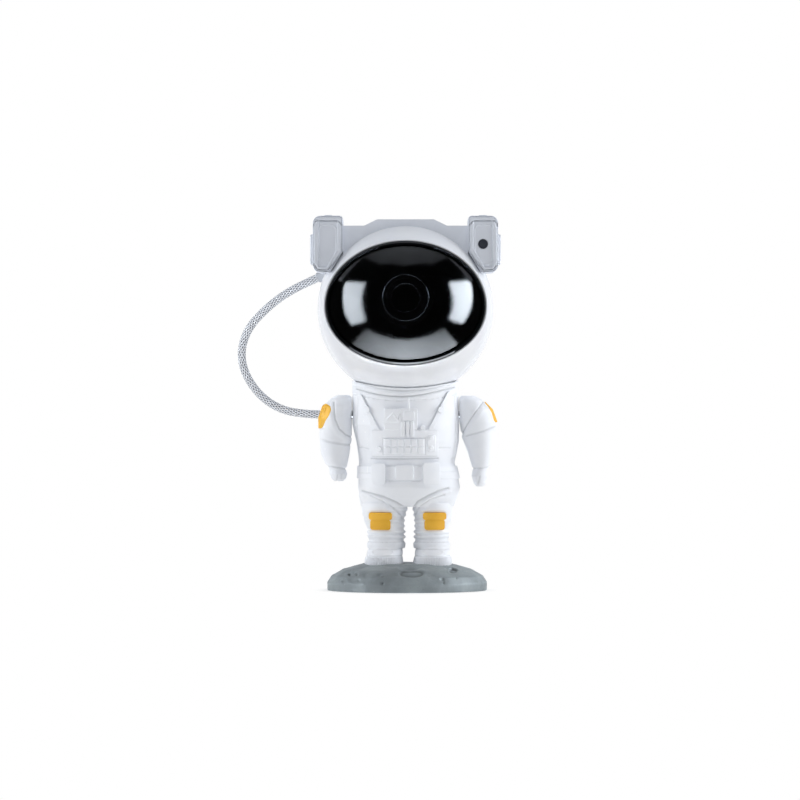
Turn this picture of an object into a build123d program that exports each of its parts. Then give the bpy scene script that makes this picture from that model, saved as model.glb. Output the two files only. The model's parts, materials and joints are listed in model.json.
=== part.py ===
"""Astronaut-shaped star projector: a moon base, a suited figure and a helmet that holds the light engine.

Millimetres, +Z up, the figure looks along -Y. The origin is the centre of the base's flat underside.
"""
from build123d import *
from math import atan2, cos, degrees, hypot, pi, radians, sin, sqrt, tan
import os

os.makedirs("parts", exist_ok=True)

FROM_BASE = (Align.CENTER, Align.CENTER, Align.MIN)
SIDES = {"left": -1, "right": 1}

# ---------------------------------------------------------------- driving dimensions
# Fits
seat_gap = 0.1          # between pieces that sit on each other's curved faces
running_gap = 0.05      # radial, a shaft in its bearing
sliding_gap = 0.15      # radial, a button in its hole
insert_gap = 0.3        # an inner piece in its housing

# Moon base
base_wall = 2.8
base_stations = (       # height, centre x, centre y, half width, half depth
    (0.0, 1.0, 0.0, 48.0, 44.5),
    (5.0, 1.0, 0.0, 48.3, 44.8),
    (9.0, 1.0, 0.0, 45.6, 42.0),
    (13.0, 1.0, 0.0, 38.4, 35.0),
    (16.4, 1.0, 0.0, 26.0, 22.5),
)
crater_list = (         # x, y, rim radius, depth
    (2.3, -27.0, 7.0, 1.5),
    (28.0, -22.0, 4.4, 1.3),
    (-15.6, -36.0, 1.8, 0.8),
    (22.0, -38.0, 1.6, 0.8),
    (-32.5, -23.0, 2.4, 0.9),
    (-35.0, 14.0, 5.5, 1.5),
    (14.0, 29.0, 6.4, 1.6),
    (-12.0, 31.0, 3.2, 1.0),
    (36.0, 8.0, 3.4, 1.0),
)
plate_thickness = 2.2
ballast_half_width = 31.0
ballast_half_depth = 27.0
ballast_height = 6.4
foot_radius = 5.0
foot_depth = 1.2
foot_spread = (27.0, 24.0)
boss_radius = 3.2
base_screw_places = ((-38.0, 0.0), (38.0, 0.0), (0.0, -35.5), (0.0, 35.5))
base_screw_length = 6.6
base_screw_recess = 0.2                     # how far a head sits inside the plate

# Screws
screw_radius = 1.2
screw_head_radius = 2.3
screw_head_height = 1.6
screw_end_gap = 0.4                         # between a screw's end and its hole's

# Legs: stations from the sole up as height, centre x, centre y, half width, half depth
sole_height = 14.7
boot_stations = {
    "left": (
        (14.7, -13.4, -3.5, 11.05, 16.2),
        (18.0, -13.2, -3.4, 11.0, 16.2),
        (21.5, -12.6, -2.6, 10.9, 14.8),
        (25.2, -12.0, -0.6, 10.4, 12.2),
        (27.4, -11.5, 0.2, 8.8, 9.4),
    ),
    "right": (
        (14.7, 16.6, -3.5, 11.1, 16.2),
        (18.0, 16.5, -3.4, 11.0, 16.2),
        (21.5, 16.3, -2.6, 10.8, 14.8),
        (25.2, 16.4, -0.6, 10.3, 12.2),
        (27.4, 16.3, 0.2, 8.4, 9.4),
    ),
}
leg_stations = {
    "left": (
        (24.4, -11.7, 0.2, 9.9, 10.8),
        (31.0, -11.4, 0.3, 10.7, 11.2),
        (37.0, -11.8, 0.2, 11.1, 11.6),
        (42.0, -12.8, 0.0, 12.1, 12.8),
        (47.0, -13.4, 0.0, 12.8, 14.6),
        (50.6, -13.6, 0.0, 12.9, 16.2),
    ),
    "right": (
        (24.4, 15.9, 0.2, 9.6, 10.8),
        (31.0, 15.7, 0.3, 10.0, 11.2),
        (37.0, 15.9, 0.2, 10.2, 11.6),
        (42.0, 16.4, 0.0, 10.9, 12.8),
        (47.0, 16.7, 0.0, 11.6, 14.6),
        (50.6, 16.6, 0.0, 11.8, 16.2),
    ),
}
ankle_ring = (25.4, 29.4, 0.9)              # from, to, how far it stands out
cuff_rings = (31.6, 34.2)                   # heights of the folds below the knee patch
cuff_ring_height = 1.4
cuff_ring_rise = 0.5
knee_tiers = (          # centre height, width, height, rise above the leg
    (44.85, 14.0, 4.5, 1.5),
    (39.6, 12.2, 6.0, 0.9),
)
knee_corner = 1.4
knee_centres = {"left": -15.1, "right": 17.5}
inlay_depth = 0.8       # how deep the yellow pieces sit in the suit
leg_screw_depths = (-4.0, 5.0)              # y of the two screws under each boot
leg_screw_length = 12.0

# Torso: level ellipses from the crotch to above the collar
suit_wall = 2.2
torso_stations = (
    (50.6, 1.2, 0.0, 28.0, 17.2),
    (56.0, 1.6, 0.0, 29.6, 20.4),
    (62.0, 2.2, 0.0, 30.8, 22.0),
    (70.0, 1.6, 0.0, 29.8, 22.2),
    (77.0, 0.8, 0.0, 28.8, 22.0),
    (83.0, 1.2, 0.0, 29.8, 22.8),
    (90.0, 1.3, 0.0, 31.0, 24.1),
    (100.0, 0.2, 0.0, 32.2, 25.0),
    (114.0, 0.0, 0.0, 32.0, 25.2),
    (132.0, 0.0, 0.0, 32.0, 25.2),
)
collar_groove = (6.6, 0.8, 0.6)             # distance from the seat, width, depth
torso_screw_half_pitch = 21.5
torso_screw_low = 61.0
torso_screw_drop = 9.5                      # of the upper pair below the shoulder pins
torso_screw_seat = 6.0                      # y of the step that a screw's head sits on
torso_screw_length = 10.4

# Belt and chest console; every block follows the suit's surface
belt_bottom = 67.4
belt_top = 75.0
belt_rise = 1.0
belt_blocks = (         # centre x, centre height, width, height, corner, rise
    (-0.6, 71.2, 10.6, 9.0, 1.2, 2.4),
    (-16.1, 70.4, 8.3, 12.8, 1.6, 2.9),
    (15.5, 70.6, 10.2, 13.2, 1.6, 2.9),
)
console_blocks = (
    (-0.6, 88.6, 40.2, 16.8, 1.6, 1.5),
    (-2.9, 103.4, 20.4, 12.8, 1.2, 2.3),
    (2.2, 105.0, 6.4, 5.2, 0.8, 2.9),
    (-8.0, 105.7, 10.0, 8.2, 0.8, 2.7),
    (-0.8, 86.8, 24.6, 9.9, 0.8, 2.4),
    (15.6, 88.6, 4.8, 9.6, 0.8, 2.2),
)
console_key_columns = 6
console_key_rows = 2
console_key_size = (3.1, 3.9)
console_key_pitch = (4.0, 4.7)
console_key_centre = (-0.8, 86.8)
console_key_corner = 0.5
console_key_rise = 3.1
console_tubes = (-1.4, 1.3, 3.9)            # x of the three upright tubes
console_tube_size = (2.1, 9.2)
console_tube_corner = 1.0
console_tube_height = 97.3
console_tube_rise = 3.6
console_buttons = ((-16.2, 85.2, 1.7), (10.2, 98.2, 1.5), (15.6, 92.0, 1.2), (15.6, 86.0, 1.2))
console_button_rise = 3.0
spike_x = 2.0
spike_bottom = 106.0
spike_top = 115.9
spike_radius = 0.6
spike_stand_off = 1.8                       # of the spike's axis in front of the suit
chest_straps = (        # from (x, z), to (x, z), knob distance along it
    ((-27.4, 116.6), (-17.3, 97.0), 8.6),
    ((26.6, 118.8), (15.3, 97.4), 11.2),
)
strap_width = 2.8
strap_rise = 1.1
strap_knob_radius = 2.0
strap_knob_rise = 2.4

# Head
head_centre_height = 169.5
helmet_radius = 53.0
helmet_wall = 2.2
visor_tilt = 4.8
visor_slope_wide = 2.411                    # half width of the opening per unit in front of the centre
visor_slope_high = 1.015                    # half height of the opening per unit in front of the centre
visor_wall = 1.7
visor_flange = 2.0
bezel_width = 1.8
bezel_thickness = 1.5
collar_gap = 0.6                            # between the helmet and the torso's rim

# Crown frame and ear pods
frame_side_inset = 15.5                     # of the frame's sides from the helmet's
frame_front = -19.5
frame_back = 18.0
frame_top_rise = 0.4                        # above the helmet
frame_shoulder_drop = 3.8                   # from the flat top to the shoulders
frame_flat_half = 17.0
frame_slope_end = 24.8
frame_corner = 2.5
frame_wall = 2.2
frame_pocket_width = 14.0
pod_width = 18.0
pod_height = 34.0
pod_rise = 2.1                              # above the crown frame
pod_front = -23.0
pod_back = 14.0
pod_wall = 1.8
pod_corner = 4.6
pod_inner_corner = 2.0
pod_chamfer = (7.7, 12.8)                   # width and height of the slanted lower inner corner
pod_cover_inset = 0.8
pod_cover_thickness = 1.8
pod_cover_rise = 0.5
pod_panel_inset = 2.4
pod_panel_depth = 0.8
pod_bulge_rise = 1.7
pod_bulge_inset = (8.0, 7.0, 5.0, 11.0)     # from the pod's front, back, bottom and top
pod_bump = (5.0, 8.0, 0.9)                  # width, depth, height
laser_inset = 8.9                           # of the laser's axis from the pod's inner side
laser_drop = 17.0                           # of the laser's axis below the pod's top
window_radius = 2.85
window_thickness = 1.2
laser_radius = 2.6
laser_length = 11.0
grating_clearance = 0.3                     # between the grating and the pod's wall
grating_thickness = 1.0
grating_hub_radius = 1.6
grating_hub_rise = 1.0
grating_motor_radius = 2.9
grating_shaft_radius = 0.6
grating_shaft_depth = 6.0
pod_rib_front = -3.0
pod_rib_thickness = 2.0

# Light engine, along Y inside the head
engine_rise = 6.0                           # of its axis above the head's centre
bulkhead_front = 1.0
bulkhead_thickness = 2.4
bulkhead_opening_angles = (180.0, 7.0, 241.0, 298.0)
bulkhead_opening_inset = 15.4               # of an opening's centre from the bulkhead's rim
bulkhead_opening_radius = 9.0
engine_tube_radius = 16.0
engine_bore = 13.9
engine_front = -24.0
wheel_slot_gap = 2.6                        # either side of the ripple wheel
wheel_slot_clearance = 1.2                  # past the ripple wheel's edge
wheel_offset = (17.0, -12.0)
wheel_clearance = 4.66                      # between the ripple wheel and the helmet
wheel_thickness = 2.0
wheel_lens_gap = 3.4                        # between the wheel and the lens behind or the barrel in front
wheel_hub_radius = 3.4
wheel_hub_rise = 0.5
wheel_shaft_radius = 1.0
wheel_shaft_seat = 1.4                      # from the motor's rear to the shaft's
ripple_dimples = 9
ripple_dimple_radius = 3.2
ripple_dimple_depth = 1.2
ripple_ring_share = 0.62                    # of the wheel's radius, where the dimples lie
motor_radius = 4.5
motor_length = 8.2
led_board_radius = 13.5
led_board_thickness = 1.6
led_radius = 3.0
led_height = 1.4
led_gap = 1.4                               # between the LED and the condenser lens
condenser_thickness = 4.2
condenser_edge = 1.4
barrel_clearance = 1.9                      # between the barrel's front edge and the visor
barrel_radius = 13.6
barrel_wall = 2.1
barrel_ring_radius = 8.6
barrel_ring_depth = 5.5                     # behind the barrel's front edge
barrel_ring_thickness = 1.4
lens_thickness = 6.0
lens_edge = 3.0
sink_size = (26.0, 26.0)
sink_base = 2.6
sink_depth = 15.0
sink_fins = 7
sink_fin_thickness = 1.2
helmet_post_angle = 43.2                    # of each post above or below level, seen from the front
helmet_post_inset = 5.5                     # of a post's axis from the helmet's inside
helmet_post_radius = 3.0
helmet_screw_seat = 10.0                    # y of the step that a screw's head sits on
helmet_screw_length = 15.4
vent_slots = 6
vent_pitch = 4.6
vent_size = (24.0, 1.9)
vent_drop = 8.0                             # of the vent's middle below the head's centre
keeper_radius = 15.0
keeper_thickness = 2.0

# Neck
cup_gap = 0.3                               # between the helmet and the cup it rides in
cup_thickness = 2.0
cup_radius = 21.0
hub_radius = 5.0
hub_length = 10.2
deck_gap = 0.7                              # between the deck and the cup
deck_thickness = 2.8
bush_radius = 8.5
magnet_radius = 3.4
magnet_length = 6.0
magnet_recess = 0.2

# Arms: stations from the hand up; heights are counted from the shoulder pins
shoulder_height = 105.5
shoulder_face = 32.4                        # inner face of either arm
shoulder_boss_radius = 5.2
shoulder_boss_length = 7.0
shoulder_gap = 0.4
pin_radius = 2.4
pin_head_radius = 3.8
pin_head_height = 1.8
pin_head_gap = 0.2
pin_depth = 8.6                             # how deep a pin sits in its arm
arm_stations = {
    "left": (
        (-39.7, -40.2, -5.0, 2.6, 3.4),
        (-38.3, -40.2, -5.0, 4.3, 5.4),
        (-35.5, -40.3, -4.8, 5.3, 6.6),
        (-32.5, -40.9, -4.0, 5.1, 6.3),
        (-29.0, -41.6, -3.0, 6.8, 7.8),
        (-23.5, -42.3, -1.6, 8.5, 9.0),
        (-12.5, -42.0, 0.0, 9.9, 10.2),
        (-1.5, -42.0, 0.0, 10.0, 10.6),
        (5.5, -40.4, 0.0, 9.2, 9.6),
        (10.0, -38.4, 0.0, 6.8, 7.0),
        (12.1, -37.4, 0.0, 3.6, 4.0),
    ),
    "right": (
        (-42.9, 44.8, -4.0, 2.2, 3.0),
        (-41.1, 44.8, -4.0, 3.6, 4.8),
        (-36.5, 44.6, -3.8, 4.8, 6.2),
        (-32.5, 45.2, -3.2, 4.7, 5.8),
        (-28.5, 45.6, -2.4, 6.2, 7.4),
        (-22.5, 45.6, -1.2, 8.0, 8.8),
        (-13.5, 44.4, 0.0, 10.3, 10.2),
        (-4.5, 43.8, 0.0, 11.2, 10.8),
        (3.5, 41.8, 0.0, 10.3, 10.2),
        (9.1, 39.0, 0.0, 7.4, 7.4),
        (11.7, 37.6, 0.0, 4.0, 4.4),
    ),
}
arm_patch_heights = {"left": (-8.5, 6.3), "right": (-4.3, 8.1)}
arm_patch_edges = {"left": 46.4, "right": 47.6}     # how far out each patch begins
arm_patch_half_depth = 6.6
arm_patch_rise = 0.5

# Control board, on posts of the torso's back shell
control_board_back = 8.8
control_board_height = 79.0
control_board_size = (32.0, 42.0)
board_hole_inset = 3.5                      # of a post from a board's edges
control_board_chips = (     # x, z, width, depth, height
    (-6.0, 5.0, 9.0, 1.6, 9.0),
    (8.0, -7.0, 6.0, 4.0, 6.0),
    (9.0, 13.0, 7.0, 2.4, 5.0),
)

# Backpack
pack_half_width = 27.0
pack_bottom = 77.6
pack_top = 118.0
pack_back = 45.0
pack_wall = 2.0
pack_corner = 5.0
pack_cover_thickness = 2.2
pack_screw_inset = 4.8                      # of a screw from the pack's outer sides
pack_screw_length = 8.4
button_places = {
    "power_button": (-7.0, 105.5),
    "star_button": (7.0, 105.5),
    "nebula_button": (-7.0, 93.5),
    "timer_button": (7.0, 93.5),
}
button_radius = 3.4
button_flange = 0.8
button_flange_thickness = 1.3
button_rise = 1.2
button_edge = 0.5
button_travel = 0.8
switch_size = 5.0
board_thickness = 1.6
board_size = (31.0, 34.0)
board_stand_off = 5.2                       # behind the cover
board_centre_height = 97.0
board_post_radius = 1.9
usb_width = 8.9
usb_height = 3.2
usb_shell = 0.3
usb_back_wall = 1.0
usb_recess = 0.3
usb_tongue = (6.4, 5.5, 0.7)
usb_centre_height = 85.0

# Hose: its route is chosen by hand, from the backpack to the helmet
hose_radius = 2.5
hose_points = (
    (-31.5, 36.0, 105.8),
    (-44.0, 36.0, 105.8),
    (-58.5, 36.4, 105.6),
    (-76.4, 35.6, 108.6),
    (-92.4, 34.0, 119.1),
    (-100.7, 32.5, 136.5),
    (-98.0, 30.5, 155.4),
    (-84.2, 28.0, 171.1),
    (-67.9, 25.0, 182.6),
    (-53.0, 21.9, 188.8),
)
gland_radius = 3.9
gland_tip_radius = 3.1
gland_taper = 6.0
gland_inside = 6.0
lower_gland_flange = 4.8
lower_gland_flange_thickness = 1.4
lower_gland_inside = 1.5
lower_gland_lip = 0.4                       # of the cone's end before the gland's

# ---------------------------------------------------------------- places worked out from the sizes above
head_centre = (0.0, 0.0, head_centre_height)
helmet_inside = helmet_radius - helmet_wall
seat_radius = helmet_radius + collar_gap
beyond = head_centre_height + helmet_radius     # longer than any one piece
torso_floor, torso_top = torso_stations[0][0], torso_stations[-1][0]
torso_reach = max(station[4] for station in torso_stations)

frame_half_width = helmet_radius - frame_side_inset
frame_top = head_centre_height + helmet_radius + frame_top_rise
frame_shoulder_height = frame_top - frame_shoulder_drop
pod_outer = frame_half_width + pod_width
pod_top = frame_top + pod_rise
pod_bottom = pod_top - pod_height
laser_x = frame_half_width + laser_inset
laser_z = pod_top - laser_drop
laser_front = pod_rib_front - laser_length
grating_z = laser_z + laser_radius + grating_motor_radius + 2 * running_gap
grating_radius = laser_inset - pod_wall - grating_clearance

cup_inner = helmet_radius + cup_gap
cup_outer = cup_inner + cup_thickness
cup_bottom = head_centre_height - cup_outer
hub_bottom = cup_bottom - hub_length
deck_bottom = cup_bottom - deck_gap - deck_thickness
magnet_top = head_centre_height - cup_inner - magnet_recess

engine_height = head_centre_height + engine_rise
engine_rear = bulkhead_front + bulkhead_thickness
seam_y = engine_rear
bulkhead_radius = sqrt(helmet_inside**2 - engine_rear**2) - insert_gap
condenser_y = bulkhead_front - led_board_thickness - led_height - led_gap
wheel_rear = condenser_y - condenser_thickness - wheel_lens_gap
wheel_front = wheel_rear - wheel_thickness
wheel_x = wheel_offset[0]
wheel_z = engine_height + wheel_offset[1]
wheel_radius = (sqrt(helmet_inside**2 - wheel_front**2) - hypot(wheel_x, wheel_z - head_centre_height)
                - wheel_clearance)
visor_inside = helmet_inside - seat_gap - visor_wall
barrel_front = barrel_clearance - sqrt(visor_inside**2 - (engine_rise + barrel_radius) ** 2)
barrel_back = wheel_front - wheel_lens_gap
barrel_ring_y = barrel_front + barrel_ring_depth

boss_inner_x = shoulder_face - shoulder_gap - shoulder_boss_length
pin_inner = boss_inner_x - pin_head_gap - pin_head_height
pin_outer = shoulder_face + pin_depth
torso_screw_places = [(sx * torso_screw_half_pitch, z) for sx in (-1, 1)
                      for z in (torso_screw_low, shoulder_height - torso_screw_drop)]
control_board_posts = [(sx * (control_board_size[0] / 2 - board_hole_inset),
                        sz * (control_board_size[1] / 2 - board_hole_inset)) for sx in (-1, 1) for sz in (-1, 1)]
pack_screw_places = [(sx * (pack_half_width - pack_screw_inset), z) for sx in (-1, 1)
                     for z in (pack_bottom + pack_screw_inset, pack_top - pack_screw_inset)]
cover_inner = pack_back - pack_cover_thickness
switch_top = cover_inner - insert_gap - button_flange_thickness - button_travel - running_gap
board_back = cover_inner - board_stand_off
usb_depth = pack_back - usb_recess - board_back


def front_plane(y):
    """Upright sketch plane at y: sketch x is X, sketch y is Z, and extrusion goes towards the front."""
    return Plane(origin=(0, y, 0), x_dir=(1, 0, 0), z_dir=(0, -1, 0))


def forward_from(x, y, z):
    """Place for a cylinder that starts at y and runs towards the front."""
    return Location((x, y, z), (90, 0, 0))


def outward_from(side, x, y, z):
    """Place for a cylinder that starts at |x| and runs away from the middle, on one side."""
    return Location((side * x, y, z), (0, 90 * side, 0))


def ellipse_stack(stations, grow=0.0, base=0.0):
    """Smooth solid through level ellipses, each grown sideways, with heights counted from a base."""
    with BuildPart(mode=Mode.PRIVATE) as stack:
        for height, x, y, half_width, half_depth in stations:
            with BuildSketch(Plane(origin=(x, y, base + height))):
                Ellipse(half_depth + grow, half_width + grow, rotation=90)
        loft(ruled=True)
    return stack.part


def torso_section(height):
    """Centre x, centre y, half width and half depth of the torso at a height."""
    for lower, upper in zip(torso_stations, torso_stations[1:]):
        if lower[0] <= height <= upper[0]:
            share = (height - lower[0]) / (upper[0] - lower[0])
            return [low + (high - low) * share for low, high in zip(lower[1:], upper[1:])]
    return torso_stations[-1][1:]


def slab(bottom, top):
    """Wide level slab between two heights."""
    with BuildPart(mode=Mode.PRIVATE) as block:
        with Locations((0, 0, bottom)):
            Box(beyond, beyond, top - bottom, align=FROM_BASE)
    return block.part


def front_prism(sketch):
    """Solid that a front-view sketch sweeps from the middle plane towards the front."""
    with BuildPart(mode=Mode.PRIVATE) as prism:
        extrude(sketch, amount=beyond)
    return prism.part


def front_block(x, height, width, tall, corner):
    """Front-view rounded rectangle, as a solid from the middle plane forward."""
    with BuildSketch(front_plane(0), mode=Mode.PRIVATE) as outline:
        with Locations((x, height)):
            RectangleRounded(width, tall, min(corner, 0.49 * width, 0.49 * tall))
    return front_prism(outline.sketch)


def front_disc(x, height, radius):
    """Front-view disc, as a solid from the middle plane forward."""
    with BuildSketch(front_plane(0), mode=Mode.PRIVATE) as outline:
        with Locations((x, height)):
            Circle(radius)
    return front_prism(outline.sketch)


def front_bar(start, end, width):
    """Front-view bar with round ends between two points, as a solid from the middle plane forward."""
    run, rise = end[0] - start[0], end[1] - start[1]
    middle = ((start[0] + end[0]) / 2, (start[1] + end[1]) / 2)
    with BuildSketch(front_plane(0), mode=Mode.PRIVATE) as outline:
        with Locations(Location((*middle, 0), (0, 0, degrees(atan2(rise, run))))):
            SlotOverall(hypot(run, rise) + width, width)
    return front_prism(outline.sketch)


def clothe(blocks, stations, inner):
    """Raised blocks that follow a stacked body: (solid, rise) pairs, cut off at the inner body."""
    with BuildPart(mode=Mode.PRIVATE) as relief:
        for rise in sorted({rise for _, rise in blocks}):
            with BuildPart(mode=Mode.PRIVATE) as level:
                for block, block_rise in blocks:
                    if block_rise == rise:
                        add(block)
                add(ellipse_stack(stations, rise), mode=Mode.INTERSECT)
            add(level.part)
        add(inner, mode=Mode.SUBTRACT)
    return relief.part


def on_surface(prism, outer, inner):
    """The part of a prism that lies between two nested bodies."""
    with BuildPart(mode=Mode.PRIVATE) as skin:
        add(prism)
        add(outer, mode=Mode.INTERSECT)
        add(inner, mode=Mode.SUBTRACT)
    return skin.part


def ball(radius):
    """Solid ball about the head's centre."""
    with BuildPart(mode=Mode.PRIVATE) as sphere:
        with Locations(head_centre):
            Sphere(radius)
    return sphere.part


def visor_cone(margin=0.0):
    """Elliptical cone from the head's centre through the visor's opening, wider by a margin at the shell."""
    widen = margin / helmet_radius
    upright = Plane(origin=head_centre, x_dir=(1, 0, 0), z_dir=(0, -1, 0)).rotated((-visor_tilt, 0, 0))
    with BuildPart(mode=Mode.PRIVATE) as cone:
        for distance in (0.01 * helmet_radius, 1.15 * helmet_radius):
            half_width = distance * (visor_slope_wide + widen * (1 + visor_slope_wide**2))
            half_height = distance * (visor_slope_high + widen * (1 + visor_slope_high**2))
            with BuildSketch(upright.offset(distance)):
                Ellipse(half_width, half_height)
        loft(ruled=True)
    return cone.part


def save(piece, name):
    """Label a finished piece and write it as its own file."""
    piece.part.label = name
    export_step(piece.part, f"parts/{name}.step")


# ---------------------------------------------------------------- legs
leg_screw_places = [(boot_stations[name][0][1], y) for name in SIDES for y in leg_screw_depths]
base_roof = sole_height - base_wall
for name in SIDES:
    stations = leg_stations[name]
    leg_inlay = ellipse_stack(stations, -inlay_depth)
    ring_bottom, ring_top, ring_rise = ankle_ring
    cuff_body = ellipse_stack(stations, cuff_ring_rise)
    with BuildPart() as knee_patch:
        for height, width, tall, rise in knee_tiers:
            block = front_block(knee_centres[name], height, width, tall, knee_corner)
            add(on_surface(block, ellipse_stack(stations, rise), leg_inlay))
    save(knee_patch, f"{name}_knee_patch")

    with BuildPart() as leg:
        add(ellipse_stack(stations))
        add(ellipse_stack(boot_stations[name]))
        add(on_surface(ellipse_stack(stations, ring_rise), slab(ring_bottom, ring_top), leg_inlay))
        for height in cuff_rings:
            add(on_surface(cuff_body, slab(height, height + cuff_ring_height), leg_inlay))
        add(knee_patch.part, mode=Mode.SUBTRACT)
        with Locations(*[(x, y, base_roof) for x, y in leg_screw_places]):
            Cylinder(screw_radius, leg_screw_length + screw_end_gap, align=FROM_BASE, mode=Mode.SUBTRACT)
    save(leg, f"{name}_leg")

# ---------------------------------------------------------------- moon base
base_body = ellipse_stack(base_stations)
with BuildPart() as base_cavity:
    add(ellipse_stack(base_stations, -base_wall, -base_wall))
    add(slab(0, base_roof), mode=Mode.INTERSECT)


def dome_height(x, y):
    """Height of the base's surface above a point of its plan."""
    shares = [hypot((x - cx) / half_width, (y - cy) / half_depth)
              for _, cx, cy, half_width, half_depth in base_stations]
    for lower, upper, share_low, share_high in zip(base_stations, base_stations[1:], shares, shares[1:]):
        if share_low <= 1 <= share_high:
            return lower[0] + (upper[0] - lower[0]) * (1 - share_low) / (share_high - share_low)
    return base_stations[-1][0]


def dome_point(x, y):
    return Vector(x, y, dome_height(x, y))


def dome_normal(x, y, step=0.5):
    """Outward direction of the base's surface."""
    slope_x = (dome_height(x + step, y) - dome_height(x - step, y)) / (2 * step)
    slope_y = (dome_height(x, y + step) - dome_height(x, y - step)) / (2 * step)
    return Vector(-slope_x, -slope_y, 1).normalized()


with BuildPart() as base_bosses:
    for x, y in base_screw_places:
        with Locations((x, y, plate_thickness)):
            Cylinder(boss_radius, sole_height, align=FROM_BASE)
    add(ellipse_stack(base_stations, -base_wall / 2), mode=Mode.INTERSECT)

with BuildPart() as moon_base:
    add(base_body)
    add(base_cavity.part, mode=Mode.SUBTRACT)
    add(base_bosses.part)
    for x, y, rim, depth in crater_list:
        curve = (rim**2 + depth**2) / (2 * depth)
        with Locations(dome_point(x, y) + dome_normal(x, y) * (curve - depth)):
            Sphere(curve, mode=Mode.SUBTRACT)
    for x, y in base_screw_places:
        with Locations((x, y, base_screw_recess)):
            Cylinder(screw_radius, base_screw_length + screw_end_gap, align=FROM_BASE, mode=Mode.SUBTRACT)
    for stations in boot_stations.values():
        add(ellipse_stack(stations), mode=Mode.SUBTRACT)
    with Locations(*[(x, y, 0) for x, y in leg_screw_places]):
        Cylinder(screw_radius, sole_height, align=FROM_BASE, mode=Mode.SUBTRACT)
save(moon_base, "moon_base")

plate_outline = base_stations[0]
foot_places = [(plate_outline[1] + sx * foot_spread[0], sy * foot_spread[1]) for sx in (-1, 1) for sy in (-1, 1)]
with BuildPart() as base_plate:
    with BuildSketch(Plane(origin=(plate_outline[1], 0, 0))):
        Ellipse(plate_outline[3] - base_wall - insert_gap, plate_outline[4] - base_wall - insert_gap)
    extrude(amount=plate_thickness)
    with Locations(*[(x, y, 0) for x, y in foot_places]):
        Cylinder(foot_radius, foot_depth, align=FROM_BASE, mode=Mode.SUBTRACT)
    with Locations(*[(x, y, 0) for x, y in base_screw_places]):
        Cylinder(screw_radius + running_gap, plate_thickness, align=FROM_BASE, mode=Mode.SUBTRACT)
        Cylinder(screw_head_radius + running_gap, screw_head_height, align=FROM_BASE, mode=Mode.SUBTRACT)
save(base_plate, "base_plate")

with BuildPart() as rubber_feet:
    with Locations(*[(x, y, 0) for x, y in foot_places]):
        Cylinder(foot_radius - running_gap, foot_depth, align=FROM_BASE)
save(rubber_feet, "rubber_feet")

with BuildPart() as base_screws:
    for x, y in base_screw_places:
        with Locations((x, y, base_screw_recess)):
            Cylinder(screw_head_radius, screw_head_height - base_screw_recess, align=FROM_BASE)
            Cylinder(screw_radius, base_screw_length, align=FROM_BASE)
save(base_screws, "base_screws")

with BuildPart() as leg_screws:
    for x, y in leg_screw_places:
        with Locations((x, y, base_roof - screw_head_height)):
            Cylinder(screw_head_radius, screw_head_height, align=FROM_BASE)
            Cylinder(screw_radius, screw_head_height + leg_screw_length, align=FROM_BASE)
save(leg_screws, "leg_screws")

with BuildPart() as ballast_weight:
    with BuildSketch(Plane(origin=(0, 0, plate_thickness))):
        Ellipse(ballast_half_width, ballast_half_depth)
    extrude(amount=ballast_height)
save(ballast_weight, "ballast_weight")

# ---------------------------------------------------------------- torso
torso_body = ellipse_stack(torso_stations)
with BuildPart() as torso_inside:
    add(ellipse_stack(torso_stations, -suit_wall))
    add(slab(torso_floor + suit_wall, torso_top), mode=Mode.INTERSECT)
helmet_space = ball(seat_radius)
groove_distance, groove_width, groove_depth = collar_groove
collar_ring = on_surface(
    on_surface(torso_body, ball(seat_radius + groove_distance + groove_width), ball(seat_radius + groove_distance)),
    slab(torso_floor, torso_top), ellipse_stack(torso_stations, -groove_depth))

with BuildPart() as torso_whole:
    add(torso_body)
    add(torso_inside.part, mode=Mode.SUBTRACT)
    for side in SIDES.values():
        with Locations(outward_from(side, boss_inner_x, 0, shoulder_height)):
            Cylinder(shoulder_boss_radius, shoulder_boss_length, align=FROM_BASE)
        with Locations(outward_from(side, pin_inner, 0, shoulder_height)):
            Cylinder(pin_radius + running_gap, pin_outer - pin_inner, align=FROM_BASE, mode=Mode.SUBTRACT)
    for x, z in torso_screw_places:
        with Locations(forward_from(x, torso_reach, z)):
            Cylinder(boss_radius, 2 * torso_reach, align=FROM_BASE)
    for x, z in torso_screw_places:
        with Locations(forward_from(x, torso_reach, z)):
            Cylinder(screw_head_radius + running_gap, torso_reach - torso_screw_seat, align=FROM_BASE,
                     mode=Mode.SUBTRACT)
            Cylinder(screw_radius, torso_reach - torso_screw_seat + torso_screw_length + screw_end_gap,
                     align=FROM_BASE, mode=Mode.SUBTRACT)
    for x, z in control_board_posts:
        with Locations(forward_from(x, torso_reach, control_board_height + z)):
            Cylinder(board_post_radius, torso_reach - control_board_back, align=FROM_BASE)
    add(torso_body, mode=Mode.INTERSECT)
    add(helmet_space, mode=Mode.SUBTRACT)
    add(collar_ring, mode=Mode.SUBTRACT)

with BuildPart() as torso_front_shell:
    add(torso_whole.part)
    split(bisect_by=Plane.XZ, keep=Keep.TOP)
save(torso_front_shell, "torso_front_shell")

with BuildPart() as torso_back_shell:
    add(torso_whole.part)
    split(bisect_by=Plane.XZ, keep=Keep.BOTTOM)
save(torso_back_shell, "torso_back_shell")

with BuildPart() as torso_screws:
    for x, z in torso_screw_places:
        with Locations(forward_from(x, torso_screw_seat + screw_head_height, z)):
            Cylinder(screw_head_radius, screw_head_height, align=FROM_BASE)
            Cylinder(screw_radius - running_gap, screw_head_height + torso_screw_length, align=FROM_BASE)
save(torso_screws, "torso_screws")

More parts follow.
